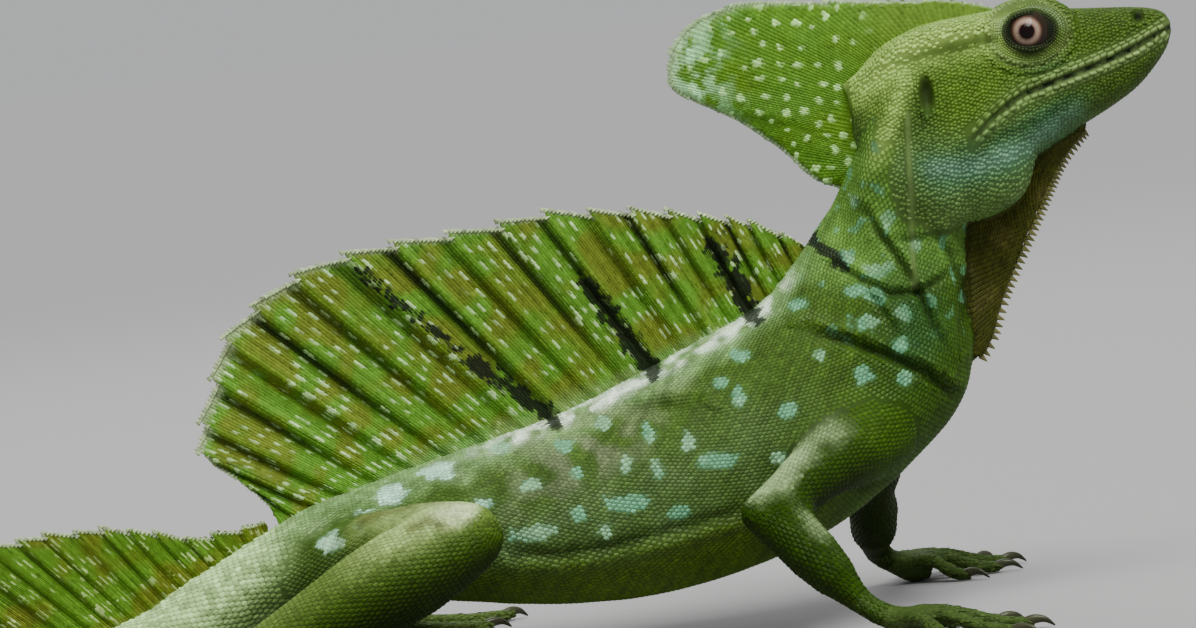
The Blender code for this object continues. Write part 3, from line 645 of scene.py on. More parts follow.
points = relax(points, 0.5 * below_jowl[:, None], 160)
jaw_corner = np.clip(1.5 - np.hypot((x - 27.0) / 5.5, (z - 84.5) / 5.5), 0, 1) * (out > 2.4)
points = relax(points, 0.5 * jaw_corner[:, None], 90)
gentle = np.where(np.isin(belongs, [FORM_NAMES.index(n) for n in HEAD_FORMS]), 0.15, 0.4)
points = relax(points, gentle[:, None], 2)
points[:, 2] = np.maximum(points[:, 2], 0.0)
skin.data.vertices.foreach_set("co", points.ravel())
skin.data.update()
print("points by form:", {n: int((belongs == i).sum()) for i, n in enumerate(FORM_NAMES)})

# %% [markdown]
# Folds come next: the loose fold before the shoulder, the creases of a turned neck, the line where
# flank meets belly, and the cord of skin below the ear. Each is a line in side view. Points near a
# line are pushed in, and points beside it are lifted, which is what loose skin does. Sculpting by
# hand would give the same forms, but a short table of lines is easy to read and to move.

# %% Folds, cheeks, ears and nostrils
FOLDS = (
    ("shoulder fold", ((-21, 56.5), (-14, 54), (-7, 50.6), (0, 46.4), (6.5, 40)), 1, 1, 1),
    ("neck crease", ((-7.4, 78), (-5, 72.6), (-2.4, 68), (0.6, 61.5), (2.9, 54.4)), 0.8, 0.9, 0.6),
    ("throat crease", ((5, 72.4), (8.1, 66.3), (9.4, 61.7), (9, 56.1), (7.6, 50)), 0.9, 0.9, 0.5),
    ("cross crease", ((-13.9, 67.9), (-7.4, 63.3), (-4.5, 61.4), (1.3, 61.2), (7.5, 64)), 0.8, 0.8, 0.5),
    ("rear crease", ((-10.8, 65.6), (-7.4, 60.6), (-4.4, 54)), 0.7, 0.6, 0.4),
    ("front crease", ((1, 61), (2.4, 55), (5.4, 49)), 0.7, 0.5, 0.3),
    ("jowl edge", ((-4.6, 71.6), (0.4, 70.6), (6, 71), (11.5, 72.2)), 0.9, 0.4, 0.2),
    ("flank fold", ((-36, 25.5), (-46.5, 23.7), (-60, 21.8), (-71.5, 21), (-80, 22.5)), 1.2, 0.8, 0.7),
    ("side fold", ((-58, 45.6), (-50, 46.3), (-43, 45.2)), 1.2, 0.6, 0.7),
    ("armpit", ((-21, 30), (-14, 26), (-7, 26.5)), 1.6, 1, 0.4),
)
RIDGES = (
    ("cord below the ear", ((2.4, 94), (1.8, 87.4), (1, 76), (0.2, 62.3)), 0.7, 0.55),
    ("neck muscle", ((2.4, 99.7), (-0.4, 94), (-3.4, 88), (-7, 80)), 2.2, 0.8),
)
TEMPLE_LINE = tuple((x, z) for x, _, z in TEMPLE_BAND)
EAR, EAR_RADII, EAR_DEPTH = (6.4, 97.6), (1.15, 3.0), 1.3
NOSTRIL, NOSTRIL_DEPTH = (48.2, 107.0), 1.1
# Wrinkles round the eye: distance from its middle, depth.
EYE_WRINKLES = ((6.6, 0.45), (8.3, 0.3))


# %% Distances, normals and grain
def line_distance(where, line):
    """Distance of side-view points from a line, and on which side of it they are."""
    best, sign = np.full(len(where), 1e9), np.zeros(len(where))
    line = np.asarray(line, dtype=float)
    for start, end in zip(line, line[1:]):
        step = end - start
        share = np.clip(((where - start) @ step) / (step @ step), 0, 1)
        gap = where - start - share[:, None] * step
        far = np.hypot(gap[:, 0], gap[:, 1])
        closer = far < best
        sign[closer] = np.sign(step[0] * gap[closer, 1] - step[1] * gap[closer, 0])
        best[closer] = far[closer]
    return best, sign


def ear_distance(sizes):
    """How far points lie from the middle of the ear in side view, as a share of its radii."""
    return np.hypot((sizes[:, 0] - EAR[0]) / EAR_RADII[0], (sizes[:, 2] - EAR[1]) / EAR_RADII[1])


def nostril_distance(sizes):
    """How far points lie from the nostril in side view."""
    return np.hypot(sizes[:, 0] - NOSTRIL[0], sizes[:, 2] - NOSTRIL[1])


def vertex_normals(mesh):
    """A mesh's normals as an array."""
    found = np.empty(len(mesh.vertices) * 3)
    mesh.vertex_normals.foreach_get("vector", found)
    return found.reshape(-1, 3)


def grainy(where, scale, seed=0.0):
    """Soft noise from -1 to 1 at points in millimetres."""
    shift = Vector((seed, seed * 1.7, -seed))
    return np.array([noise.noise(Vector(p) / scale + shift) for p in where])


def tapered(where, line):
    """1 beside the middle of a line, falling to 0 at its ends."""
    line = np.asarray(line)
    end = np.minimum(np.hypot(*(where - line[0]).T), np.hypot(*(where - line[-1]).T))
    return np.clip(end / 5.0, 0, 1) ** 0.7


# %% Pressing the folds into the skin
normals = vertex_normals(skin.data)
sizes = to_sizes(points)
flat, out = sizes[:, [0, 2]], np.abs(sizes[:, 1])
on_side = np.clip(np.abs(normals[:, 1]) * 2.2 - 0.3, 0, 1)
on_trunk = np.isin(belongs, [i for i, n in enumerate(FORM_NAMES) if not n.startswith(("fore", "hind", "lid"))])
push = np.zeros(len(points))
for _, line, width, depth, lift in FOLDS:
    far, sign = line_distance(flat, line)
    fold = lift * hill(far * sign - 1.8 * width, 1.3 * width) - depth * hill(far, width)
    push += fold * tapered(flat, line) * on_trunk
for _, line, width, height in RIDGES:
    far, _ = line_distance(flat, line)
    push += height * hill(far, width) * on_trunk
ear, nostril = ear_distance(sizes), nostril_distance(sizes)
push -= EAR_DEPTH * np.clip(1.15 - ear, 0, 0.6) / 0.6 * (out > 8)
push += 0.25 * hill(ear - 1.5, 0.3) * (out > 8)
push += (0.2 * hill(nostril - 1.5, 0.5) - NOSTRIL_DEPTH * hill(nostril, 0.75)) * (out > 2)
for side in (RIGHT, LEFT):
    away = sizes - beside(LID_CENTRE, side)
    ring = np.hypot(away[:, 0] / 1.22, away[:, 2]) + 0.02 * away[:, 0]
    near_eye = np.abs(away[:, 1]) < 5
    for radius, depth in EYE_WRINKLES:
        push -= depth * hill(ring - radius, 0.4) * near_eye
push *= on_side
push += 0.22 * grainy(sizes, 7.0) * on_trunk * (sizes[:, 0] < 8)
points = points + normals * push[:, None] * MM
points[:, 2] = np.maximum(points[:, 2], 0.0)
skin.data.vertices.foreach_set("co", points.ravel())
skin.data.update()
shade_smooth(skin)
print("deepest fold %.2f mm, highest %.2f mm" % (push.min(), push.max()))

# %% [markdown]
# Colour is worked out at points, so that the skin and the scales over it carry the same markings.
# The animal is green with turquoise white blotches, a pale band below its crest, blue green jowls
# and a pale ringed tail, and its limbs are dark. Other rules paint light and shade into the colour:
# lighter tops and darker undersides to the limbs, highlights on the knee and along the back below the
# crest, a sheen on the jaw, and shade in folds, behind the cheek, in the mouth line and in the
# nostrils. Every rule is a mask from 0 to 1 and the colour it mixes in.

# %% Markings, painted light and painted shade of the skin
GREEN = (0.046, 0.098, 0.009)
FLANK = (0.068, 0.122, 0.037)
NAPE = (0.112, 0.245, 0.036)
CHEST = (0.030, 0.074, 0.003)
BACK_BAND = (0.20, 0.36, 0.125)
BLOTCH = (0.125, 0.35, 0.19)
BELLY = (0.057, 0.102, 0.006)
JAW = (0.045, 0.150, 0.070)
JOWL = (0.115, 0.205, 0.050)
SHEEN = (0.125, 0.250, 0.160)
HEAD_GREEN = (0.072, 0.145, 0.012)
SNOUT = (0.042, 0.085, 0.006)
TEMPLE = (0.39, 0.60, 0.13)
LIP = (0.190, 0.290, 0.085)
THROAT = (0.037, 0.035, 0.003)
TAIL_PALE = (0.60, 0.88, 0.36)
# Limbs: a painted light for the tops and the limbs' own colour, for hind and fore legs, then painted shade for their
# undersides.
HIND_TOP_LIGHT, HIND = (0.30, 0.43, 0.135), (0.033, 0.071, 0.005)
FORE_TOP_LIGHT, FORE = (0.27, 0.38, 0.17), (0.017, 0.044, 0.001)
LIMB_UNDERSIDE_SHADE = (0.014, 0.028, 0.002)
TOE = (0.06, 0.095, 0.024)
TEAL = (0.015, 0.060, 0.013)
# Black, for the black marks and for painted shade in the mouth line and nostrils.
BLACK_MARK_AND_SHADE = (0.006, 0.009, 0.005)
# Then a darker tone for the pale band, a painted highlight for the back's ridge, and taupe.
BAND_SHADE, RIDGE_HIGHLIGHT, TAUPE = (0.20, 0.26, 0.12), (0.80, 0.96, 0.74), (0.19, 0.22, 0.125)
TAIL_RING, CORD = (0.045, 0.075, 0.014), (0.20, 0.31, 0.09)
CHEEK_SHADE, EAR_SKIN, THROAT_PATCH = (0.034, 0.078, 0.010), (0.035, 0.055, 0.014), (0.11, 0.10, 0.025)
LID_RING, LID_INSIDE = (0.16, 0.22, 0.07), (0.012, 0.018, 0.008)
REAR_BLOTCH, WARM_BLOTCH = (0.46, 0.78, 0.56), (0.40, 0.60, 0.32)
# Painted light for the upper faces of the hind legs, a painted highlight for the knee, and the wrinkles' colour.
HIND_UPPER_LIGHT, KNEE_HIGHLIGHT, WRINKLE = (0.15, 0.23, 0.045), (0.58, 0.68, 0.40), (0.075, 0.075, 0.02)

# %% Places of spots and lines
# Blotches in side view: x, z, length, height.
BLOTCHES = (
    (-26.5, 42.5, 2.6, 2.4), (-40, 35, 6, 2.4), (-58.6, 29.5, 6, 2.4), (-48.5, 26.5, 3.6, 1.8),
    (-75.6, 25.6, 6.4, 2.6), (-67, 28.6, 2.4, 2), (-62.5, 25, 1.8, 2), (-74.6, 34.5, 3, 2),
    (-92.5, 38.6, 5, 3), (-101.5, 35.3, 3.8, 2.6), (-107, 31.5, 3.4, 2.4), (-113.5, 28.5, 3.8, 2.4),
    (-86.5, 42.6, 2.6, 2.4),
    (-68.5, 41, 2.6, 1.8), (-60.5, 44, 2.6, 1.8), (-80, 41.5, 2.8, 1.6), (-33.5, 53.5, 3, 2),
    (-21.8, 61.5, 2.6, 2.2), (-11.5, 47, 2.8, 2.6), (-4, 45.5, 2.2, 2.2), (-2.5, 57.5, 2.4, 2.4),
    (-6.5, 66, 4.4, 2.4), (-12, 69.5, 2.4, 2.2), (-9.5, 57, 3.4, 1.8), (-35, 46, 1.8, 3.2),
    (-38, 49, 2, 1.6), (-45.5, 39, 1.8, 3), (-52.5, 41.5, 1.6, 2.6), (-51.5, 35, 1.6, 2.2),
    (-29, 34, 2, 1.6), (-84.5, 32, 3, 1.8), (-3.7, 52, 2.4, 2.2), (-10.7, 62.9, 2.8, 1.5),
    (-3.5, 75, 2.2, 2.4), (-9, 79.5, 1.8, 2),
    (1.5, 70, 1.8, 2.2), (-19, 52, 1.6, 1.4), (-66.5, 35.6, 1.6, 2), (-57, 36, 1.4, 2.4),
)
# Black streaks on crest and nape: first end, second end, half width.
INK_MARKS = (
    ((-35.8, 74), (-30, 60), 1.7),
    ((-60.5, 69.5), (-50.2, 52), 1.7),
    ((-84, 58), (-69.5, 44.8), 1.4),
    ((-103, 77.5), (-84, 58), 0.8),
    ((-17.5, 73.2), (-12.4, 67.6), 1.3),
)
# More lines in side view: two on the jaw, two of wrinkles behind the knee.
JAW_LINE = ((6.0, 83.6), (15.0, 83.4), (23.8, 85.3), (34.0, 91.0))
JAW_GROOVE = ((11.5, 86.8), (19.0, 88.2), (27.6, 90.4), (35.0, 94.6))
KNEE_WRINKLE = ((-107.7, 31.7), (-102.1, 33.7), (-95.1, 34.9), (-89.0, 35.2))
KNEE_PLEAT = ((-97.5, 31.4), (-94.1, 32.4), (-91.5, 31.2))
CORD_LINE, MUSCLE_LINE = RIDGES[0][1], RIDGES[1][1]
DENSE_ROWS = smooth_rows(BODY_SECTIONS, np.linspace(0, LAST_SECTION, 300))
BACK_LINE, BELLY_LINE = DENSE_ROWS[:, :2], DENSE_ROWS[:, 2:4]


# %% How colours are blended
def line_depth(where, line):
    """Least distance of side-view points from a dense line."""
    result = np.empty(len(where))
    for first in range(0, len(where), 4000):
        part = where[first:first + 4000]
        result[first:first + 4000] = np.sqrt(((part[:, None] - line[None]) ** 2).sum(-1).min(1))
    return result


def lips_at(x):
    """Height of the line between the lips at places along the head."""
    return rows_for(HEAD_SECTIONS, np.clip(x, -7.5, 54.4))[..., 2]


def paint(colour, mask, other):
    """Mixes another colour in by a mask."""
    mask = np.clip(mask, 0, 1)[:, None]
    return colour * (1 - mask) + np.asarray(other) * mask


def soft_step(value, low, high):
    """0 below low and 1 above high, smooth between."""
    t = np.clip((value - low) / (high - low), 0, 1)
    return t * t * (3 - 2 * t)


def blotch_mask(flat, wobble):
    """How far points lie in the pale blotches."""
    mask = np.zeros(len(flat))
    for x, z, length, height in BLOTCHES:
        far = np.hypot((flat[:, 0] - x) / length, (flat[:, 1] - z) / height) * 1.55
        mask = np.maximum(mask, soft_step(1.25 - far + wobble * 0.45, 0.1, 0.5))
    return mask


# %% The skin's colour at a place
def skin_colour(sizes, normals, region):
    """Colour of skin or scales at points in millimetres. Region is a form's name or an array."""
    flat = sizes[:, [0, 2]]
    region = np.broadcast_to(np.asarray(region, dtype=object), (len(sizes),))
    coarse, fine = grainy(sizes, 6.0, 3.0), grainy(sizes, 1.8, 9.0)
    below_back, above_belly = line_depth(flat, BACK_LINE), line_depth(flat, BELLY_LINE)
    colour = np.tile(GREEN, (len(sizes), 1))

    def coat(mask, other):
        nonlocal colour
        colour = paint(colour, mask, other)

    def along(line, width):
        """1 on a line in side view, falling to 0 beside it."""
        return hill(line_distance(flat, line)[0], width)

    body = np.array([r == "body" or "column" in r for r in region])
    head = np.array([r in HEAD_FORMS for r in region])
    throat = np.array([r == "dewlap" for r in region])
    limb = ~(body | head | throat)
    body = body | limb
    root_gap = np.full(len(sizes), 1e3)
    for (kind, _), parts in limbs.items():
        root_gap = np.minimum(root_gap, np.linalg.norm(sizes - parts["joints"][0], axis=1) - 6 * (kind == "hind"))
    limb = limb * soft_step(root_gap, 8, 19)
    toes = np.array(["toes" in r or "palm" in r for r in region])
    x, z = sizes[:, 0], sizes[:, 2]
    trunk = soft_step(-x, 14, 34) * (1 - soft_step(-x, 108, 122))
    depth = below_back / np.maximum(below_back + above_belly, 1)
    coat(body * trunk * (0.55 + 0.5 * coarse) * soft_step(depth, 0.1, 0.5), FLANK)
    coat(body * trunk * soft_step(depth, 0.62, 0.85), BELLY)
    band = body * soft_step(-x, 12, 24) * (1 - soft_step(below_back, 2.0 + coarse * 2, 6.0 + coarse * 2))
    coat(band * (0.75 + 0.3 * fine), BACK_BAND)
    coat(band * soft_step(grainy(sizes, 8.0, 40.0), 0.05, 0.4) * 0.45, BAND_SHADE)
    taupe = body * hill(x + 66.0, 15.0) * hill(z - 38.5 - 0.3 * (x + 66.0), 6.0)
    coat(taupe * soft_step(grainy(sizes, 4.0, 55.0), -0.25, 0.35) * 0.7, TAUPE)
    # A painted highlight along the ridge of the back, just below the crest.
    crown = band * hill(below_back - 1.2, 1.0) * soft_step(-x, 20, 27) * (1 - soft_step(-x, 74, 92))
    coat(crown * soft_step(grainy(sizes, 3.4, 71.0), -0.4, 0.1) * 0.95, RIDGE_HIGHLIGHT)
    tail = body * soft_step(-x, 116, 132)
    rings = 0.5 + 0.5 * np.sin(x * 2 * math.pi / 24.0 + coarse)
    tail_pale = tail * (1 - soft_step(-x, 190, 330) * 0.75) * (1 - 0.75 * soft_step(below_back, 5, 12))
    coat(tail_pale * (0.6 + 0.4 * fine), TAIL_PALE)
    coat(tail * soft_step(-x, 165, 210) * soft_step(rings, 0.5, 0.8) * 0.75, TAIL_RING)
    coat(body * soft_step(x, -24, -10) * soft_step(z, 58, 68) * (0.8 + 0.4 * coarse), NAPE)
    coat(body * soft_step(x, -20, -6) * (1 - soft_step(z, 56, 68)) * 0.85, CHEST)
    teal = hill(x + 1.0, 6.5) * hill(z - 58.0, 11.0) * body
    coat(teal * (0.75 + 0.6 * coarse), TEAL)
    # Head and throat
    coat(head * 1.0, HEAD_GREEN)
    lips = lips_at(x)
    behind_cheek = head * hill(x - 4.5, 4.5) * hill(z - 93.0, 6.5)
    coat(behind_cheek * 0.85, CHEEK_SHADE)
    under = soft_step(lips - z, -6, 5) * head
    coat(under * soft_step(34 - x, 0, 14) * (0.8 + 0.3 * coarse), JOWL)
    coat(under * along(JAW_LINE, 5.0) * (0.75 + 0.3 * coarse), JAW)
    coat(under * along(JAW_LINE, 1.9) * (0.7 + 0.3 * coarse), SHEEN)
    # Painted shade along a fold above the jaw.
    coat(under * along(JAW_GROOVE, 1.1) * 0.6, TEAL)
    coat(head * soft_step(x, 29, 42) * (0.9 + 0.2 * coarse), SNOUT)
    coat(head * hill(x - 29.5, 5.5) * hill(z - 99.9, 1.9) * 0.7, TEAL)
    coat((head | body) * along(MUSCLE_LINE, 1.9) * soft_step(z, 83, 90) * 0.6, TEMPLE)
    coat((head | body) * along(TEMPLE_LINE, 3.6) * 0.9, TEMPLE)
    mouth = head * soft_step(x, 11, 17) * hill(z - lips, 1.9)
    coat(mouth * (0.25 + 0.6 * soft_step(x, 18, 34)), LIP)
    # Painted shade in the groove between the lips.
    coat(mouth * hill(z - lips, 0.5, 4) * 1.2, BLACK_MARK_AND_SHADE)
    below_lip = head * soft_step(x, 12, 18) * (1 - soft_step(x, 46, 52)) * hill(z - lips + 3.0, 0.5)
    coat(below_lip * 0.45, SNOUT)
    for side in (RIGHT, LEFT):
        eye = np.linalg.norm((sizes - beside(LID_CENTRE, side)) / (1.26, 1.6, 1.0), axis=1)
        coat(hill(eye - 5.9, 0.9) * 0.55, LID_RING)
        coat(1 - soft_step(eye, 3.9, 4.7), LID_INSIDE)
    # Painted shade in the nostril.
    coat(hill(nostril_distance(sizes), 0.85, 4) * head, BLACK_MARK_AND_SHADE)
    coat(head * hill(ear_distance(sizes), 1.0, 4) * 0.8, EAR_SKIN)
    coat(throat * (0.9 + 0.1 * coarse), THROAT)
    coat(throat * soft_step(coarse, 0.1, 0.5) * 0.35, THROAT_PATCH)
    coat((body | head) * along(CORD_LINE, 0.5) * 0.9, CORD)
    slanted = np.stack(((x * 0.82 - z * 0.57) / 1.1, 0 * x, (x * 0.57 + z * 0.82) / 8.0), axis=1)
    streak = grainy(slanted, 1.0, 63.0) * soft_step(-x, -2, 20) * (1 - soft_step(-x, 100, 125)) * body
    colour = colour * (1 + 0.38 * streak)[:, None]
    # Painted shade darkens the skin along each fold.
    for _, line, width, depth, _ in FOLDS:
        dark = 0.38 * min(depth, 1) * (body | head) * tapered(flat, line) * along(line, width * 0.8)
        colour = colour * (1 - dark)[:, None]
    # Pale blotches, not on the underside
    blotch = body * blotch_mask(flat, fine * 1.1 + grainy(sizes, 3.0, 27.0)) * soft_step(np.abs(normals[:, 1]), 0.15, 0.4)
    dim = 1 - 0.5 * soft_step(x, -14, -6) * soft_step(z, 48, 56)
    coat(blotch * dim * 0.95, BLOTCH)
    coat(blotch * soft_step(-x, 76, 92) * 0.85, REAR_BLOTCH)
    coat(blotch * soft_step(grainy(sizes, 11.0, 47.0), 0.0, 0.3) * 0.35 * dim, WARM_BLOTCH)
    speck = soft_step(grainy(sizes, 2.6, 21.0), 0.34, 0.5)
    coat(body * soft_step(z, 50, 62) * speck * 0.55 * soft_step(x, -24, -14), BLOTCH)
    # Limbs: their own colours, painted light on faces turned up, a painted highlight at the knee, and painted shade
    # on undersides
    top_light = soft_step(normals[:, 2] + 0.3 * coarse, 0.4, 1.05)
    hind = np.array([r.startswith("hind") for r in region])
    coat(limb * ~hind, FORE)
    coat(limb * hind, HIND)
    # Painted light on the tops of the forelegs.
    coat(limb * ~hind * top_light * soft_step(z, 12, 30), FORE_TOP_LIGHT)
    # Painted light on the upper faces of the hind legs, and a brighter painted highlight on the thigh near the knee.
    hind_light = hind * soft_step(limb, 0.0, 0.4) * soft_step(normals[:, 2] + 0.08 * coarse, -0.05, 0.95)
    coat(hind_light * 0.55, HIND_UPPER_LIGHT)
    front = soft_step((x + 88.2) - 1.07 * (z - 30.0) + fine, -1.4, 1.4)
    knee = hind_light * soft_step(normals[:, 2] + 0.2 * fine, 0.1, 0.8) * soft_step(x, -115, -98) * (1 - front)
    coat(knee, HIND_TOP_LIGHT)
    # A painted highlight on the top of the knee.
    knee_highlight = hill(x + 89.0, 5.0) * hill(z - 33.2, 1.9)
    coat(hind * knee_highlight * (1 - front) * (0.6 + 0.4 * fine), KNEE_HIGHLIGHT)
    wrinkles = np.maximum(along(KNEE_WRINKLE, 0.75), along(KNEE_PLEAT, 0.75))
    coat(hind * wrinkles * 0.7, WRINKLE)
    # Painted shade on the undersides of all limbs.
    coat(limb * soft_step(-normals[:, 2] + 0.15 * coarse, -0.25, 0.55), LIMB_UNDERSIDE_SHADE)
    coat(limb * toes * 0.6, TOE)
    # Black marks
    ink = np.zeros(len(sizes))
    for start, end, width in INK_MARKS:
        far, _ = line_distance(flat, (start, end))
        ink = np.maximum(ink, soft_step(width * 1.2 - far + fine * 1.3, 0.0, 0.6))
    coat(ink * body * 0.95, BLACK_MARK_AND_SHADE)
    return colour * (1.0 + 0.16 * fine[:, None] + 0.10 * coarse[:, None])


# %% Storing the colours
def store_colour(mesh, name, colour):
    """Writes one colour for each point of a mesh into a named attribute."""
    attribute = mesh.color_attributes.new(name, "FLOAT_COLOR", "POINT")
    rgba = np.ones((len(colour), 4))
    rgba[:, :3] = np.clip(colour, 0.0015, 1.0)
    attribute.data.foreach_set("color", rgba.ravel())


# Skin between scales is darker than the scales.
BETWEEN_SCALES = 0.6
region_names = np.array(FORM_NAMES, dtype=object)[belongs]
normals = vertex_normals(skin.data)
under_scales = skin_colour(to_sizes(points), normals, region_names)
store_colour(skin.data, "Markings", relax(under_scales, 0.5, 1) * BETWEEN_SCALES)
print("skin colours from", under_scales.min().round(3), "to", under_scales.max().round(3))

# %% [markdown]
# A scale is a small keeled shingle: a pointed hexagon that is sunk at its front, lifted at its rear
# and ridged along its middle. It has only a dozen faces, because there are tens of thousands. All
# scales of a region are written into one mesh from arrays, which is far quicker than placing
# objects. Each scale also gets a tiny patch of a texture map, at the place where it is rooted.

# %% How a scale is made
def scale_shape(front, left, rear, ridge):
    """The points of a scale. Its right side mirrors its left."""
    right = [(x, -y, z) for x, y, z in reversed(left)]
    return np.array((front, *left, rear, *right, *ridge))


SHINGLE = scale_shape(
    (-0.62, 0.0, -0.22), ((-0.18, 0.50, -0.18), (0.34, 0.42, -0.10)), (0.66, 0.0, -0.02),
    ((-0.20, 0.0, 0.16), (0.50, 0.0, 0.30)),
)
SHINGLE_FACES = np.array((
    (0, 6, 1), (1, 6, 7), (1, 7, 2), (2, 7, 3), (3, 7, 4), (4, 7, 5), (5, 7, 6), (5, 6, 0),
    (0, 1, 2), (0, 2, 3), (0, 3, 4), (0, 4, 5),
))
BEAD = scale_shape(
    (-0.58, 0.0, -0.12), ((-0.30, 0.52, -0.12), (0.30, 0.52, -0.12)), (0.58, 0.0, -0.12),
    ((-0.22, 0.0, 0.34), (0.24, 0.0, 0.30)),
)
PLATE = scale_shape(
    (-0.52, 0.0, -0.2), ((-0.47, 0.50, -0.2), (0.47, 0.50, -0.2)), (0.52, 0.0, -0.2),
    ((-0.32, 0.0, 0.30), (0.32, 0.0, 0.30)),
)
TOOTH = BEAD + np.array([(0.0, 0.0, 0.0)] * 6 + [(0.30, 0.0, 0.04), (0.05, 0.0, 0.14)])

# %% Joining many scales in one piece
# Half the width of a scale's patch in the texture map, and the grid in which regions are kept apart.
MAP_PATCH, ROOT_CELL = 0.0015, 0.62


def scatter_scales(
    name, roots, ahead, normal, length, width, height, colour, shares, shape=SHINGLE, flat=True,
):
    """One mesh of scales. Roots and sizes are millimetres, ahead points to each scale's rear. A size
    is one number for all scales or one for each."""
    count, corners = len(roots), len(shape)
    ahead = unit(ahead - normal * (ahead * normal).sum(1, keepdims=True))
    across = np.cross(normal, ahead)
    sizes = [np.broadcast_to(np.asarray(size, dtype=float), count) for size in (length, width, height)]
    local = shape[None] * np.stack(sizes, axis=1)[:, None]
    points = roots[:, None] + local[..., :1] * ahead[:, None] + local[..., 1:2] * across[:, None]
    points = points + local[..., 2:] * normal[:, None]
    points[..., 2] = np.maximum(points[..., 2], 0.0)
    faces = (SHINGLE_FACES[None] + np.arange(count)[:, None, None] * corners).reshape(-1, 3)
    mesh = bpy.data.meshes.new(name)
    mesh.vertices.add(count * corners)
    mesh.vertices.foreach_set("co", to_model(points.reshape(-1, 3)).ravel())
    mesh.loops.add(len(faces) * 3)
    mesh.loops.foreach_set("vertex_index", faces.ravel())
    mesh.polygons.add(len(faces))
    mesh.polygons.foreach_set("loop_start", np.arange(len(faces)) * 3)
    mesh.update(calc_edges=True)
    mesh.polygons.foreach_set("use_smooth", np.full(len(faces), not flat))
    patches = mesh.uv_layers.new(name="OFBake")
    spread = local[..., :2] / np.maximum(np.abs(local[..., :2]).max(axis=(1, 2), keepdims=True), 1e-6) * MAP_PATCH
    places = np.clip(shares, 0.004, 0.996)[:, None] + spread
    patches.data.foreach_set("uv", places.reshape(-1, 2)[faces.ravel()].ravel())
    store_colour(mesh, "Markings", np.repeat(colour, corners, axis=0))
    return linked(name, mesh)


def varied(colour, spread):
    """Colours made a little lighter or darker from scale to scale."""
    return colour * (1 + SCATTER.normal(0, spread, (len(colour), 1)))


# %% Finding the skin under a scale
skin_faces = [tuple(p.vertices) for p in skin.data.polygons]
skin_tree = BVHTree.FromPolygons([tuple(p) for p in points.tolist()], skin_faces)
face_names = [region_names[f[0]] for f in skin_faces]
taken = {}


def same_part(name, region):
    """Whether a form's name belongs to a region of scales."""
    if region == "body":
        return name == "body" or "column" in name
    if region == "head":
        return name in HEAD_FORMS or "column" in name
    return name == "dewlap" if region == "dewlap" else name.startswith(region[:4]) and name.endswith(region[-4:])


def hit_arrays(hits):
    """Which of a tree's answers hit, and the hits' places in millimetres and directions."""
    good = np.array([hit[0] is not None for hit in hits])
    places = to_sizes(np.array([hit[0][:] for hit in hits if hit[0] is not None]))
    return good, places, np.array([hit[1][:] for hit in hits if hit[0] is not None])


def settle_roots(roots, region, shares, near, inner=None):
    """Draws roots onto the skin, along lines from inner points if given, and drops those that would
    move too far or that lie on another region's scales."""
    kept, places, facing = [], [], []
    on_cord = (line_distance(roots[:, [0, 2]], CORD_LINE)[0] < 0.55) & (np.abs(roots[:, 1]) > 3)
    starts = None if inner is None else to_model(inner)
    for i, root in enumerate(to_model(roots)):
        if starts is None:
            where, normal, face, _ = skin_tree.find_nearest(root, near * MM)
        else:
            where, normal, face, _ = skin_tree.ray_cast(starts[i], root - starts[i])
        if where is None or (Vector(root) - where).length > near * MM:
            continue
        if on_cord[i] or not same_part(face_names[face], region):
            continue
        key = tuple(int(c) for c in np.floor(np.array(where) / (ROOT_CELL * MM)))
        around = itertools.product(*((c - 1, c, c + 1) for c in key))
        if any(taken.get(cell, region) != region for cell in around):
            continue
        taken[key] = region
        kept.append(i)
        places.append(where[:])
        facing.append(normal[:])
    kept = np.array(kept, dtype=int)
    return kept, to_sizes(np.array(places)), np.array(facing), shares[kept]


# %% Rows over a surface
def lattice(point_at, spacing, first, last, steps=260):
    """Staggered rows of (place, turn), evenly spaced along and around a tube."""
    places, turns = np.linspace(first, last, steps), np.linspace(0, 1, 97)
    rings = point_at(places[:, None] + 0 * turns, turns + 0 * places[:, None])
    lengths = lengths_to(np.linalg.norm(np.diff(rings, axis=0), axis=2).mean(1))
    rows, placed = int(round(lengths[-1] / spacing[0])), []
    for row in range(rows):
        place = float(np.interp((row + 0.5) * lengths[-1] / rows, lengths, places))
        ring = point_at(np.full(97, place), turns)
        around = lengths_to(np.linalg.norm(np.diff(ring, axis=0), axis=1))
        count = max(int(round(around[-1] / spacing[1] / 4)) * 4, 6)
        even = (np.arange(count) + 0.5 * (row % 2)) / count * around[-1]
        placed.append(np.stack((np.full(count, place), np.interp(even, around, turns)), axis=1))
    return np.concatenate(placed)


print("a scale has", len(SHINGLE_FACES), "faces")

# %% [markdown]
# The body's scales stand in rings, each ring shifted by half a scale, which gives the oblique rows
# that lizards show. They are fine beads on neck and flank, square rows on the belly, and longer
# keeled rows on the tail.

# %% Scales of body and tail
scale_pieces = []


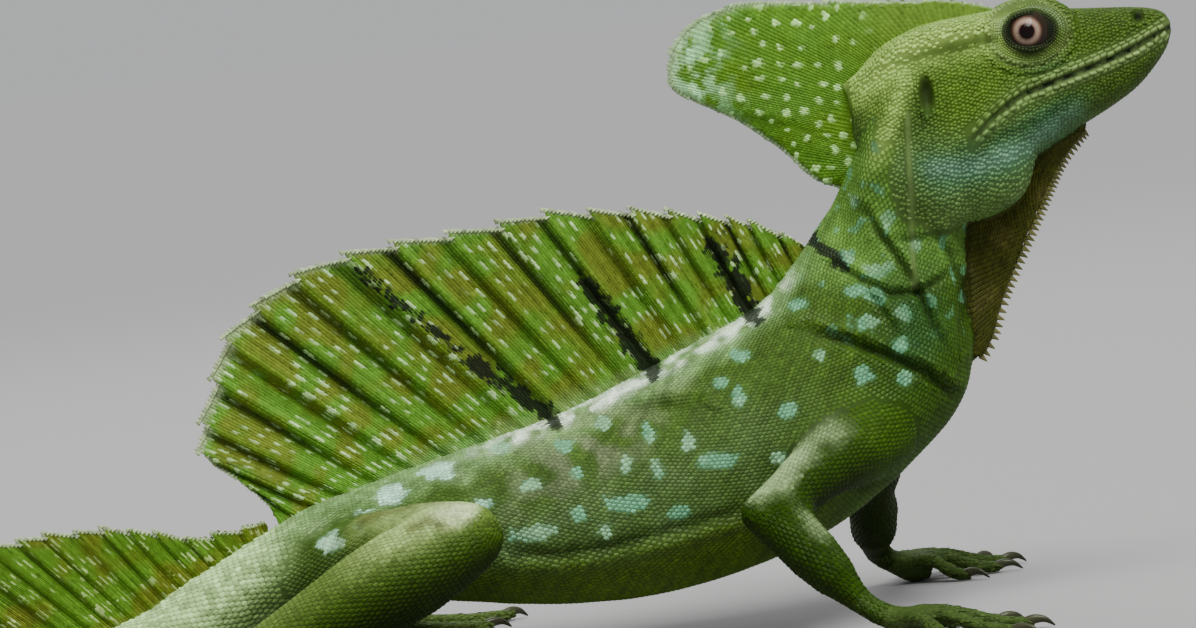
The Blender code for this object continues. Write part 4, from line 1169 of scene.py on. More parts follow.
def body_scales(name, first, last, spacing, size, height):
    """Scales on a length of the body. Size is the share of the spacing that a scale covers."""
    grid = lattice(lambda place, turn: body_point(place, turn * 2 * math.pi), spacing, first, last)
    grid[:, 0] += SCATTER.normal(0, 0.004, len(grid))
    angle = grid[:, 1] * 2 * math.pi
    roots = body_point(grid[:, 0], angle)
    shares = np.stack(((grid[:, 0] - first) / (last - first), grid[:, 1]), axis=1)
    inner = section_middle(smooth_rows(BODY_SECTIONS, grid[:, 0]))
    kept, places, facing, shares = settle_roots(roots, "body", shares, 4.0 if first < 4 else 2.6, inner)
    ahead = body_axis(grid[kept, 0])
    count = len(kept)
    jitter = 1 + SCATTER.normal(0, 0.07, (count, 2))
    lower = np.clip(-np.cos(angle[kept]), 0, 1)
    length = spacing[0] * size * jitter[:, 0] * (1 + 0.15 * lower)
    width = spacing[1] * size * jitter[:, 1] * (1 + 0.08 * lower)
    colour = varied(skin_colour(places, facing, "body"), 0.11)
    scale_pieces.append(scatter_scales(name, places, ahead, facing, length, width, height, colour, shares))
    print(name, count, "scales")


body_scales("neck_scales", 0.0, 4.0, (0.78, 0.78), 1.16, 0.45)
body_scales("flank_scales", 4.0, 8.6, (0.82, 0.82), 1.18, 0.45)
body_scales("belly_scales", 8.6, 13.2, (0.88, 0.88), 1.18, 0.5)
body_scales("tail_base_scales", 13.2, 17.6, (1.15, 1.1), 1.16, 0.75)
body_scales("tail_scales", 17.6, 25.0, (1.75, 1.3), 1.16, 1.0)

# %% [markdown]
# Limbs carry the same shingles, somewhat larger and more strongly keeled. Hands, feet and toes get
# smaller ones, in rows across each toe.

# %% Scales of limbs
def limb_scales(name, parts, labels, height):
    """Scales on the tubes of one limb: a list of tubes, each with its spacing and its form's name."""
    sets = [(tube, lattice(tube.point, gap, 0.03, 0.985, 100), gap) for tube, gap in parts]
    roots = np.concatenate([tube.point(rows[:, 0], rows[:, 1]) for tube, rows, _ in sets])
    ahead = np.concatenate([tube.heading(rows[:, 0]) for tube, rows, _ in sets])
    sizes = np.concatenate([np.tile(gap, (len(rows), 1)) for _, rows, gap in sets])
    order = np.concatenate([np.full(len(rows), i) for i, (_, rows, _) in enumerate(sets)])
    shares = np.concatenate([rows for _, rows, _ in sets])
    shares = np.stack(((order + shares[:, 0]) / len(sets), shares[:, 1]), axis=1)
    kept, places, facing, shares = settle_roots(roots, name, shares, 1.6)
    floor = places[:, 2] > 0.05
    kept, places, facing, shares = (values[floor] for values in (kept, places, facing, shares))
    count = len(kept)
    jitter = 1 + SCATTER.normal(0, 0.07, (count, 2))
    labels = np.array([labels[i] for i in order[kept].astype(int)], dtype=object)
    colour = varied(skin_colour(places, facing, labels), 0.11)
    scale_pieces.append(scatter_scales(
        name, places, ahead[kept], facing, sizes[kept, 0] * 1.2 * jitter[:, 0], sizes[kept, 1] * 1.1 * jitter[:, 1],
        np.where(sizes[kept, 1] > 0.9, height, 0.5 * height), colour, shares,
    ))
    print(name, count, "scales")


LEG_ROWS, PALM_ROWS, TOE_ROWS = (1.02, 0.98), (0.86, 0.84), (0.9, 0.76)
for (kind, word), parts in limbs.items():
    tubes = [(parts["upper"], LEG_ROWS), (parts["lower"], LEG_ROWS), (parts["palm"], PALM_ROWS)]
    tubes += [(toe, TOE_ROWS) for toe in parts["toes"]]
    names = ["upper", "lower", "palm"] + ["toes"] * len(parts["toes"])
    limb_scales(f"{kind}_leg_scales_{word}", tubes, [f"{kind}_{name}_{word}" for name in names], 0.62)

# %% [markdown]
# The long hind toes have a fringe of small flaps along each side, which spread on water when the
# animal runs over it. Each flap is one pointed scale that stands out from the side of its toe.

# %% Fringes of the hind toes
FLAP_GAP, FLAP_HEIGHT = 1.25, 2.3


def toe_fringe(word):
    """Flaps along both sides of the toes of one hind foot."""
    roots, ahead, out, shares = [], [], [], []
    toes = limbs["hind", word]["toes"]
    for index, toe in enumerate(toes):
        count = int(toe.length * 0.66 / FLAP_GAP)
        share = np.linspace(0.2, 0.86, count)
        for turn in (0.25, 0.75):
            place, opposite = toe.point(share, np.full(count, turn)), toe.point(share, np.full(count, 1 - turn))
            roots.append(place)
            out.append(unit(place - opposite))
            ahead.append(toe.heading(share))
            shares.append(np.stack(((index + share) / len(toes), np.full(count, turn)), axis=1))
    roots, ahead, out, shares = (np.concatenate(a) for a in (roots, ahead, out, shares))
    half_up = np.tile((0.0, 0.0, 0.5), (len(roots), 1))
    colour = varied(skin_colour(roots, half_up, f"hind_toes_{word}"), 0.12)
    scale_pieces.append(scatter_scales(
        f"toe_fringe_{word}", roots - out * 0.15, ahead, out, FLAP_GAP, 0.5, FLAP_HEIGHT, colour, shares, TOOTH,
    ))
    print("toe_fringe", word, len(roots), "flaps")


for word in ("right", "left"):
    toe_fringe(word)

# %% [markdown]
# The head has several kinds of scale. Small plates pave the crown, snout and jowls, a row of long plates
# borders each lip, and fine beads ring the lids.

# %% Scales of the head
HEAD_SPACING = (0.72, 0.72)


def head_scales():
    """Plates and beads over the head, a little longer and higher on the crown, and left out round the lips, eyes,
    nostrils and ears.
    """
    grid = lattice(lambda place, turn: head_point(place, turn * 2 * math.pi), HEAD_SPACING, 0.3, 13.9)
    roots = head_point(grid[:, 0], grid[:, 1] * 2 * math.pi) + SCATTER.normal(0, 0.09, (len(grid), 3))
    row = smooth_rows(HEAD_SECTIONS, grid[:, 0])
    inner = np.stack((row[:, 0], 0 * row[:, 0], row[:, 1] * 0.45 + row[:, 3] * 0.55), axis=1)
    shares = np.stack((grid[:, 0] / LAST_HEAD_SECTION, grid[:, 1]), axis=1)
    _, places, facing, shares = settle_roots(roots, "head", shares, 6.5, inner)
    lips = lips_at(places[:, 0])
    free = (np.abs(places[:, 2] - lips) > 2.6) | (places[:, 0] < 13)
    for side in (RIGHT, LEFT):
        local = np.array(lid_matrix(side).inverted())
        flat = moved_by(local, to_model(places)) / MM
        inside = np.hypot(flat[:, 0] / (LID_OPENING[0] + 2.5), flat[:, 2] / (LID_OPENING[1] + 2.5)) < 1
        free &= ~(inside & (np.abs(flat[:, 1]) < 4))
    free &= (nostril_distance(places) > 1.35) & (ear_distance(places) > 1.2)
    places, facing, shares = places[free], facing[free], shares[free]
    count = len(places)
    colour = varied(skin_colour(places, facing, "head"), 0.10)
    size = HEAD_SPACING[0] * 1.16 * (1 + SCATTER.normal(0, 0.09, count))
    crown = soft_step(places[:, 2] - lips[free], 8, 14)
    ahead = np.tile((-1.0, 0.0, -0.35), (count, 1))
    scale_pieces.append(scatter_scales(
        "head_scales", places, ahead, facing, size * (1 + 0.1 * crown), size, 0.27 + 0.09 * crown, colour, shares,
        BEAD, False,
    ))
    print("head_scales", count, "scales")


# %% Plates along the lips
LIP_PLATE = 1.45


def lip_plates():
    """Two rows of long plates along each side of the mouth."""
    roots, ahead, shares = [], [], []
    for side in (RIGHT, LEFT):
        for row, offset in enumerate((0.95, -0.95, 1.95, -1.95)):
            x = np.arange(14.5, 53.4, LIP_PLATE) + 0.45 * row
            lips = lips_at(x)
            half = np.interp(x, HEAD_SECTIONS[:, 0], HEAD_SECTIONS[:, 4])
            roots.append(np.stack((x, side * (half + 0.4), lips + offset), axis=1))
            slope = np.gradient(lips, x)
            ahead.append(np.stack((-np.ones_like(x), 0 * x, -slope), axis=1))
            shares.append(np.stack(((x - 14) / 40, np.full(len(x), 0.1 + 0.2 * row + 0.05 * side)), axis=1))
    roots, ahead, shares = (np.concatenate(a) for a in (roots, ahead, shares))
    good, places, facing = hit_arrays([skin_tree.find_nearest(p, 2.0 * MM) for p in to_model(roots)])
    count = len(places)
    inner = np.abs(places[:, 2] - lips_at(places[:, 0])) < 1.5
    paler = np.where(inner, 0.7, 0.35) * soft_step(places[:, 0], 16, 36)
    colour = varied(paint(skin_colour(places, facing, "head"), paler, LIP), 0.10)
    length = LIP_PLATE * (1.04 + SCATTER.normal(0, 0.05, count))
    scale_pieces.append(scatter_scales(
        "lip_plates", places, ahead[good], facing, length, np.where(inner, 1.1, 0.95), 0.36, colour, shares[good],
        PLATE, False,
    ))
    print("lip_plates", count)


# %% Beads round the eyes
LID_ROWS, LID_BEAD = (-0.35, 0.12, 0.58, 1.02, 1.46, 1.9, 2.36), 0.54
LEAST_BEAD, LID_RIM = (0.05, 0.085, 0.015), (0.014, 0.018, 0.007)
UPPER_LID, LOWER_LID = (0.20, 0.28, 0.14), (0.080, 0.095, 0.028)


def lid_beads():
    """Rows of fine beads round the opening of each eye, dark at the rim and paler on the upper lid."""
    roots, ahead, shares, rows, heights = [], [], [], [], []
    for side in (RIGHT, LEFT):
        matrix = np.array(lid_matrix(side))
        for row, out in enumerate(LID_ROWS):
            count = int(math.pi * (sum(LID_OPENING) + 2 * out) / LID_BEAD)
            angle = (np.arange(count) + 0.5 * (row % 2)) / count * 2 * math.pi
            along, up = np.cos(angle) * (LID_OPENING[0] + out), np.sin(angle) * (LID_OPENING[1] + out)
            local = np.stack((along, side * (0.6 + lid_rise(np.hypot(along, up))), up), axis=1) * MM
            roots.append(to_sizes(moved_by(matrix, local)))
            ahead.append(np.stack((-np.sin(angle), 0 * angle, np.cos(angle)), axis=1))
            shares.append(np.stack((angle / 6.3, np.full(count, 0.08 + 0.12 * row + 0.05 * (side > 0))), axis=1))
            rows.append(np.full(count, row))
            heights.append(np.sin(angle))
    roots, ahead, shares, rows, heights = (np.concatenate(a) for a in (roots, ahead, shares, rows, heights))
    _, places, facing = hit_arrays([skin_tree.find_nearest(p) for p in to_model(roots)])
    colour = np.maximum(skin_colour(places, facing, "lid_r"), LEAST_BEAD)
    on_lid = hill(rows - 3, 1.6)
    colour = paint(colour, on_lid * soft_step(heights, -0.3, 0.3) * 0.8, UPPER_LID)
    colour = paint(colour, on_lid * soft_step(-heights, 0.1, 0.7) * 0.6, LOWER_LID)
    colour = varied(paint(colour, np.clip(1.2 - rows * 0.55, 0, 0.9), LID_RIM), 0.1)
    scale_pieces.append(scatter_scales(
        "lid_beads", places, ahead, facing, LID_BEAD * 1.08, LID_BEAD, 0.42, colour, shares, BEAD, False,
    ))
    print("lid_beads", len(places))


head_scales()
lip_plates()
lid_beads()

# %% [markdown]
# The throat fan is a thin fold of skin whose edge is cut into small pointed scales, like a saw. Its
# flat sides carry square beads in rows that run along the fold.

# %% Scales of the throat fan
SAW_TEETH, SAW_COLOUR = 44, (0.11, 0.11, 0.035)


def fan_rows(base, edge, spacing, side):
    """Rows of (share, height) over a fan, with points just outside its surface."""
    placed = []
    for row in np.arange(0.04, 1.0, 0.032):
        low, high = rows_for(base, np.linspace(0, 1, 200)), rows_for(edge, np.linspace(0, 1, 200))
        line = low[:, 1:] + (high[:, 1:] - low[:, 1:]) * row
        length = lengths_to(np.hypot(*np.diff(line, axis=0).T))
        count = int(length[-1] / spacing)
        share = np.interp((np.arange(count) + 0.5 * (len(placed) % 2)) * spacing, length, np.linspace(0, 1, 200))
        placed.append(np.stack((share, np.full(count, row)), axis=1))
    grid = np.concatenate(placed)
    low, high = rows_for(base, grid[:, 0]), rows_for(edge, grid[:, 0])
    x, z = (low[:, i] + (high[:, i] - low[:, i]) * grid[:, 1] for i in (1, 2))
    y = fan_sway(grid[:, 0], grid[:, 1]) + side * 1.2
    return grid, np.stack((x, y, z), axis=1)


def throat_scales():
    """Beads on both sides of the throat fan and a saw edge along its front."""
    roots, shares = [], []
    for side in (RIGHT, LEFT):
        grid, places = fan_rows(DEWLAP_BASE, DEWLAP_EDGE, 1.05, side)
        roots.append(places)
        shares.append(grid * (1, 0.5) + (0, 0.25 + 0.25 * side))
    _, places, facing, shares = settle_roots(np.concatenate(roots), "dewlap", np.concatenate(shares), 1.3)
    colour = varied(skin_colour(places, facing, "dewlap"), 0.16)
    ahead = np.tile((-0.45, 0.0, -0.9), (len(places), 1))
    scale_pieces.append(scatter_scales("throat_scales", places, ahead, facing, 1.15, 1.0, 0.7, colour, shares))
    share = np.linspace(0.02, 0.995, SAW_TEETH)
    edge = rows_for(DEWLAP_EDGE, share)
    roots = np.stack((edge[:, 1], fan_sway(share, 1.0), edge[:, 2]), axis=1)
    along = unit(np.gradient(roots, axis=0))
    out = unit(np.cross(along, (0.0, 1.0, 0.0)))
    out *= np.sign(out[:, :1])
    scale_pieces.append(scatter_scales(
        "throat_saw", roots - out * 0.2, along + out * 0.8, out, 1.15, 1.2, 3.2,
        varied(np.tile(SAW_COLOUR, (SAW_TEETH, 1)), 0.15), np.stack((share, 0 * share + 0.5), axis=1), TOOTH,
    ))
    print("throat scales", len(places))


throat_scales()

# %% [markdown]
# The three crests are thin folds held up by bony rays. The back crest is a fan whose rays lean back
# more and more towards the tail, with the skin pleated between them. Its edge steps down behind
# each ray. A grid bent by a function gives the pleats and the steps together, and Solidify then
# gives the sheet its two faces.

# %% Crest tables
# Lines of the crests: share, x, z.
BACK_CREST_EDGE = (
    (0, -19.5, 72.3), (0.05, -23, 74.6), (0.10, -28.2, 76.7), (0.20, -37.7, 79.9), (0.30, -50.6, 82.3),
    (0.40, -66.6, 83.6), (0.50, -85.3, 82.2), (0.60, -105, 80.6), (0.65, -115, 77.6), (0.70, -123, 72.6),
    (0.75, -129, 67), (0.80, -132.8, 60), (0.85, -135.5, 52), (0.90, -136.2, 46.3), (0.95, -130.5, 41),
    (1, -124.5, 35.2),
)
TAIL_CREST_EDGE = (
    (0, -126.5, 32.4), (0.06, -133, 31), (0.10, -139, 30.6), (0.14, -144.5, 31.9), (0.195, -151.5, 33.6),
    (0.26, -159.5, 34.6), (0.33, -169, 34.6), (0.40, -178, 33.6), (0.46, -188, 32.6), (0.60, -216, 30),
    (0.73, -255, 25), (0.87, -305, 16.5), (0.94, -332, 11.5), (1, -350, 7.6),
)
HEAD_CREST_BASE = (
    (0, 20.5, 108.8), (0.18, 8, 108), (0.32, -0.5, 104.5), (0.55, -4, 97), (0.80, -6.5, 89),
    (1, -7.5, 83.5),
)
HEAD_CREST_EDGE = (
    (0, 21.5, 111.9), (0.08, 15.8, 113.6), (0.16, 7, 114.9), (0.25, -4.6, 116.1), (0.33, -15, 117.5),
    (0.42, -27, 118.3), (0.50, -35, 116), (0.58, -39.9, 110.4), (0.66, -40.4, 105.4), (0.72, -36.5, 101.8),
    (0.80, -28.2, 96.9), (0.88, -21.2, 90.8), (0.95, -15.6, 84.6), (1, -11, 82),
)
CREST_SINK = 3.0
TAIL_CREST_FIRST, TAIL_CREST_LAST = 13.55, 21.0


# %% Foot and edge of a crest
def back_line(first, last):
    """A function from shares to points sunk below the ridge of the back or tail."""

    def line(share):
        row = smooth_rows(BODY_SECTIONS, first + (last - first) * share)
        top, low = row[..., [0, 5, 1]], row[..., [2, 5, 3]]
        return top + unit(low - top) * CREST_SINK

    return line


def flat_line(rows, lean=None):
    """A function from shares to points of a table of share, x and z."""

    def line(share):
        row = rows_for(rows, share)
        y = 0 * share if lean is None else lean(share)
        return np.stack((row[..., 1], y, row[..., 2]), axis=-1)

    return line


# %% How a crest is pleated
class Crest:
    """A pleated fin between two lines, with rays and finer lines of scales between them."""

    def __init__(self, base, edge, rays, lines, pleat, step, thick, ray_width, sway, seed):
        self.base, self.edge, self.rays, self.lines = base, edge, rays, lines
        self.pleat, self.step, self.thick, self.ray_width, self.sway = pleat, step, thick, ray_width, sway
        # Rays are a little longer or shorter than the table of the edge says.
        self.lengths = np.random.default_rng(seed).uniform(-0.5, 0.5, rays + 2)

    def phase(self, share):
        """How far past the last ray, from 0 to 1."""
        return (share * self.rays) % 1.0

    def point(self, share, up):
        """Points in the middle of the fin, at shares along it and up it."""
        low, high = self.base(share), self.edge(share)
        ray = np.clip(share * self.rays, 0, self.rays).astype(int)
        phase = self.phase(share)
        reach = self.step * (1.5 * phase**1.3 - 0.6 + self.lengths[ray] * (1 - phase) + self.lengths[ray + 1] * phase)
        fade = np.clip(share * self.rays * 0.6, 0, 1) * np.clip((1 - share) * self.rays * 0.6, 0, 1)
        point = low + (high + unit(high - low) * (reach * fade)[..., None] - low) * up[..., None]
        wave = np.where(phase < 0.28, phase / 0.28, (1 - phase) / 0.72)
        rise = np.clip(up * 2.0, 0, 1) * (1 - 0.45 * up**3) * (0.75 + 0.5 * self.lengths[ray])
        point[..., 1] += self.pleat * (wave - 0.5) * rise * fade + self.sway * up * np.sin(share * 9.0)
        return point

    def thickness(self, share, up):
        """Full thickness in millimetres."""
        phase = self.phase(share)
        ray = hill(np.minimum(phase, 1 - phase), self.ray_width)
        plain = self.thick[0] + (self.thick[1] - self.thick[0]) * up
        return plain + self.thick[2] * ray * (1 - 0.6 * up)


# %% The three crests
def tail_lean(share):
    """How far the tail leans to the left below its crest."""
    return smooth_rows(BODY_SECTIONS, TAIL_CREST_FIRST + (TAIL_CREST_LAST - TAIL_CREST_FIRST) * share)[..., 5]


crests = {
    "back_crest": Crest(
        back_line(3.55, 13.35), flat_line(BACK_CREST_EDGE),
        rays=20, lines=14, pleat=2.2, step=1.2, thick=(1.3, 0.55, 0.8), ray_width=0.15, sway=0.9, seed=3,
    ),
    "tail_crest": Crest(
        back_line(TAIL_CREST_FIRST, TAIL_CREST_LAST), flat_line(TAIL_CREST_EDGE, tail_lean),
        rays=25, lines=12, pleat=0.7, step=0.9, thick=(1.2, 0.55, 0.7), ray_width=0.16, sway=0.5, seed=4,
    ),
    "head_crest": Crest(
        flat_line(HEAD_CREST_BASE), flat_line(HEAD_CREST_EDGE),
        rays=7, lines=14, pleat=0.3, step=0.5, thick=(3.8, 1.0, 0.0), ray_width=0.2, sway=0.8, seed=5,
    ),
}
print("crests:", {name: crest.rays for name, crest in crests.items()}, "rays")

# %% [markdown]
# A crest's colours run along its rays. Bright green lies on the rays, a browner olive in the furrows
# between them, and short pale dashes follow the rays. Painted shade darkens the steep side of each
# pleat, just behind its ray. The black streaks of the back run up into the crest.
# The head's crest has round pale spots instead.

# %% Colours of the crests
CREST_GREEN = (0.082, 0.205, 0.017)
CREST_BRIGHT = (0.110, 0.220, 0.010)
CREST_OLIVE = (0.118, 0.136, 0.014)
# Painted shade for the steep side of each pleat.
CREST_FURROW_SHADE = (0.006, 0.014, 0.002)
CREST_EDGE = (0.32, 0.40, 0.21)
DASH = (0.42, 0.62, 0.27)
HEAD_CREST_DARK, HEAD_CREST_FRONT, HEAD_SPOT = (0.092, 0.19, 0.008), (0.10, 0.16, 0.02), (0.40, 0.68, 0.22)
HEAD_CREST_REAR, HEAD_CREST_EDGE_COLOUR, HEAD_EDGE_SCALE = (0.44, 0.86, 0.44), (0.30, 0.42, 0.20), (0.28, 0.40, 0.2)
TAIL_CREST_SHADE = (0.93, 0.87, 0.66)

# %% Pale spots of the head's crest
HEAD_SPOTS = SCATTER.uniform((-41.0, 83.0), (2.0, 118.0), (700, 2))
HEAD_SPOT_SIZES = SCATTER.uniform(0.3, 0.85, (700, 2))
kept_spots = []
for index, spot in enumerate(HEAD_SPOTS):
    if all(np.hypot(*(spot - HEAD_SPOTS[other])) > 2.6 for other in kept_spots):
        kept_spots.append(index)
print("pale spots on the head's crest:", len(kept_spots))


# %% A crest's colour at a place
def crest_colour(name, share, up, sizes):
    """Colour at shares along and up a crest."""
    crest = crests[name]
    coarse, fine = grainy(sizes, 5.0, 5.0), grainy(sizes, 1.3, 11.0)
    phase = crest.phase(share)
    colour = np.tile(CREST_GREEN, (len(sizes), 1))

    def coat(mask, other):
        nonlocal colour
        colour = paint(colour, mask, other)

    if name == "head_crest":
        coat(0.3 + 0.6 * coarse, HEAD_CREST_DARK)
        coat(soft_step(sizes[:, 0], -14, 6) * 0.6, HEAD_CREST_FRONT)
        mask = np.zeros(len(sizes))
        for index in kept_spots:
            far = np.hypot(*((sizes[:, [0, 2]] - HEAD_SPOTS[index]) / HEAD_SPOT_SIZES[index]).T)
            mask = np.maximum(mask, soft_step(1.3 - far + 0.5 * fine, 0, 0.5))
        coat(mask * (1 - soft_step(sizes[:, 0], -10, 1)), HEAD_SPOT)
        pale = soft_step(-sizes[:, 0], 24, 40) * soft_step(grainy(sizes, 3.2, 17.0) + 0.4 * fine, -0.25, 0.2)
        coat(pale * 0.8, HEAD_CREST_REAR)
        coat(soft_step(up, 0.92, 0.985) * 0.6, HEAD_CREST_EDGE_COLOUR)
        return colour * (1 + 0.12 * fine[:, None])
    index, line = np.floor(share * crest.rays), np.floor(phase * crest.lines)
    chance = (np.sin(index * 12.7 + line * 5.3) * 43.7) % 1.0
    tone = (np.sin(index * 7.1 + line * 11.9) * 57.3) % 1.0
    ray = hill(np.minimum(phase, 1 - phase), 0.10)
    coat(soft_step(coarse, -0.25, 0.3) * 0.8 * (1 - 0.3 * ray), CREST_OLIVE)
    coat(ray * (0.1 + 0.3 * coarse), CREST_BRIGHT)
    colour = colour * (0.72 + 0.46 * tone)[:, None]
    # Painted shade on the steep side of each pleat, deeper on some rays and weaker on the tail's crest.
    deep = (0.66 + 0.34 * np.sin(index * 2.4)) * (0.45 if name == "tail_crest" else 1.0)
    furrow_shade = hill(phase - 0.2, 0.08 + 0.06 * up) * deep * soft_step(up, 0.1 + 0.4 * (1 - deep), 0.6)
    coat(furrow_shade, CREST_FURROW_SHADE)
    run, pitch = up * np.linalg.norm(crest.edge(share) - crest.base(share), axis=1), 3.2 + 3.0 * chance
    beat = ((run + 9.0 * chance) % pitch) / pitch
    dash = soft_step(0.5 - np.abs(beat - 0.5) + 0.10 * fine, 0.28, 0.34) * (tone > 0.12) * ((line + index) % 3 == 0)
    rare = soft_step(grainy(sizes, 6.0, 31.0) + 0.3, 0.0, 0.3) * (0.6 + 0.4 * chance)
    coat(dash * rare * (1 - 0.8 * furrow_shade), DASH)
    coat((1 - soft_step(up, 0.06, 0.15 + 0.05 * coarse)) * 0.45, BACK_BAND)
    rear_edge = soft_step(share, 0.6, 0.85)
    coat(soft_step(up, 0.96 - 0.03 * rear_edge, 0.99) * (0.6 + 0.3 * rear_edge), CREST_EDGE)
    if name == "tail_crest":
        colour = colour * TAIL_CREST_SHADE
    if name == "back_crest":
        ink = np.zeros(len(sizes))
        for start, end, width in INK_MARKS[:4]:
            far, _ = line_distance(sizes[:, [0, 2]], (start, end))
            ink = np.maximum(ink, soft_step(width * 1.25 - far + fine * 2.2, 0.0, 0.7))
        coat(ink * 0.96, BLACK_MARK_AND_SHADE)
    return colour * ((1 + 0.15 * soft_step(share, 0.6, 0.8)) * (1 + 0.20 * fine))[:, None]


# %% [markdown]
# Each crest starts as a flat grid that its function bends into place. Solidify makes it a closed
# blade, and a vertex group keeps it thick at the foot and along the rays and thin at the edge. Scales
# stand on both faces, in lines along the rays, and a row of points makes the edge ragged. A texture
# could show scales too, but not their outline against the light.

# %% Building the crests
def crest_object(name, columns, rows):
    """The sheet of one crest, with its markings and painted shade."""
    crest = crests[name]
    bm = bmesh.new()
    bmesh.ops.create_grid(bm, x_segments=columns, y_segments=rows, size=1.0)
    grid = (np.array([v.co[:2] for v in bm.verts]) + 1) / 2
    share, up = np.clip(grid[:, 0], 0, 0.99999), grid[:, 1]
    places = crest.point(share, up)
    deform = bm.verts.layers.deform.new()
    thickness = crest.thickness(share, up) * np.clip((1.02 - up) * 9, 0.35, 1)
    most = thickness.max()
    for vert, place, wide in zip(bm.verts, to_model(places), thickness / most):
        vert.co = place
        vert[deform][0] = wide
    obj = object_from(name, bm)
    store_colour(obj.data, "Markings", crest_colour(name, share, up, places))
    obj.vertex_groups.new(name="thickness")
    shell = obj.modifiers.new("two_faces", "SOLIDIFY")
    shell.thickness = most * MM
    shell.offset = 0.0
    shell.vertex_group = "thickness"
    apply_modifiers(obj)
    shade_smooth(obj)
    print(name, len(obj.data.polygons), "faces")
    return obj


crest_objects = {}
for name, columns, rows in (("back_crest", 360, 52), ("tail_crest", 350, 24), ("head_crest", 140, 48)):
    crest_objects[name] = crest_object(name, columns, rows)
    crest_objects[name].name = f"{name}_fin"

# %% Scales on both faces of a crest
CROWDED, EDGE_GAP = 0.4, 0.78


def crest_scales(name, run, height):
    """Scales on both faces of a crest, in lines along its rays, and a row of points on its edge."""
    crest = crests[name]
    columns = crest.rays * crest.lines
    placed = []
    for column in range(columns):
        s = (column + 0.5) / columns
        tall = float(np.linalg.norm(crest.edge(np.array([s])) - crest.base(np.array([s]))))
        count = max(int(tall / run), 2)
        ups = (np.arange(count) + 0.5 * (column % 2) + 0.25) / count
        after, before = (crest.point(np.full(count, s + step), ups) for step in (0.4 / columns, -0.4 / columns))
        for up, width in zip(ups, np.linalg.norm((after - before) * (1, 0, 1), axis=1) / 0.8):
            crowded = width < CROWDED
            if up < 0.98 and not (crowded and column % 2):
                placed.append((s, up, min(width * (2 if crowded else 1), 1.3)))
    grid = np.array(placed)
    made = []
    bm = bmesh.new()
    bm.from_mesh(crest_objects[name].data)
    fin = BVHTree.FromBMesh(bm)
    bm.free()
    for word, side in (("right", RIGHT), ("left", LEFT)):
        outside = to_model(crest.point(grid[:, 0], grid[:, 1]) + (0, side * 6.0, 0))
        good, here, facing = hit_arrays([fin.ray_cast(p, (0, -side, 0)) for p in outside])
        share, up, width = grid[good].T
        along = crest.point(share, np.minimum(up + 0.02, 1)) - crest.point(share, np.maximum(up - 0.02, 0))
        count = len(here)
        colour = varied(crest_colour(name, share, up, here * (1, 0, 1)), 0.13)
        jitter = 1 + SCATTER.normal(0, 0.08, (count, 2))
        made.append(scatter_scales(
            f"{name}_scales_{word}", here, along, facing, run * 1.14 * jitter[:, 0],
            width * 1.12 * jitter[:, 1], height, colour, np.stack((share, up), axis=1),
        ))
    print(f"{name}_scales", count, "on each face")
    share = np.linspace(0, 0.9995, 900)
    top = crest.point(share, np.ones(900))
    length = lengths_to(np.linalg.norm(np.diff(top, axis=0), axis=1))
    share = np.interp(np.arange(0.4, length[-1], EDGE_GAP), length, share)
    top, below = (crest.point(share, np.full(len(share), up)) for up in (1.0, 0.93))
    out, along = unit(top - below), unit(np.gradient(top, axis=0))
    colour = varied(np.tile(HEAD_EDGE_SCALE if name == "head_crest" else CREST_EDGE, (len(share), 1)), 0.2)
    made.append(scatter_scales(
        f"{name}_edge", top - out * 0.3, along * 0.8 + out * 0.5, out, 1.2, 0.8,
        SCATTER.uniform(1.0, 2.2, len(share)), colour, np.stack((share, 0 * share + 0.5), axis=1), TOOTH,
    ))
    return made


crest_scale_objects = {}
for name, run, height in (("back_crest", 1.1, 0.42), ("tail_crest", 1.1, 0.42), ("head_crest", 0.84, 0.4)):
    crest_scale_objects[name] = crest_scales(name, run, height)

# %% [markdown]
# Lizard scales are dry horn with a low gloss, and the skin between them is duller. The colour could
# come from a painted picture, but the markings, painted light and painted shade stored at the points
# do without one. The material only varies them with soft patches and fine specks, and a bump gives
# the grain of the horn. A small class wraps a socket, so that sums in a shader read as sums do elsewhere.

# %% Shader helpers
class Socket:
    """A number in a shader that can be added, multiplied and so on."""

    def __init__(self, paint, socket):
        self.paint, self.socket = paint, socket

    def sum(self, operation, other, swapped=False):
        pair = (other, self) if swapped else (self, other)
        return self.paint.node("ShaderNodeMath", {"operation": operation}, {0: pair[0], 1: pair[1]})

    def __add__(self, other):
        return self.sum("ADD", other)

    def __radd__(self, other):
        return self.sum("ADD", other, True)

    def __sub__(self, other):
        return self.sum("SUBTRACT", other)

    def __rsub__(self, other):
        return self.sum("SUBTRACT", other, True)

    def __mul__(self, other):
        return self.sum("MULTIPLY", other)

    def __rmul__(self, other):
        return self.sum("MULTIPLY", other, True)

    def __truediv__(self, other):
        return self.sum("DIVIDE", other)

    def over(self, low, high):
        """0 below low and 1 above high, smooth between."""
        settings = {"interpolation_type": "SMOOTHSTEP"}
        return self.paint.node("ShaderNodeMapRange", settings, {"Value": self, "From Min": low, "From Max": high})


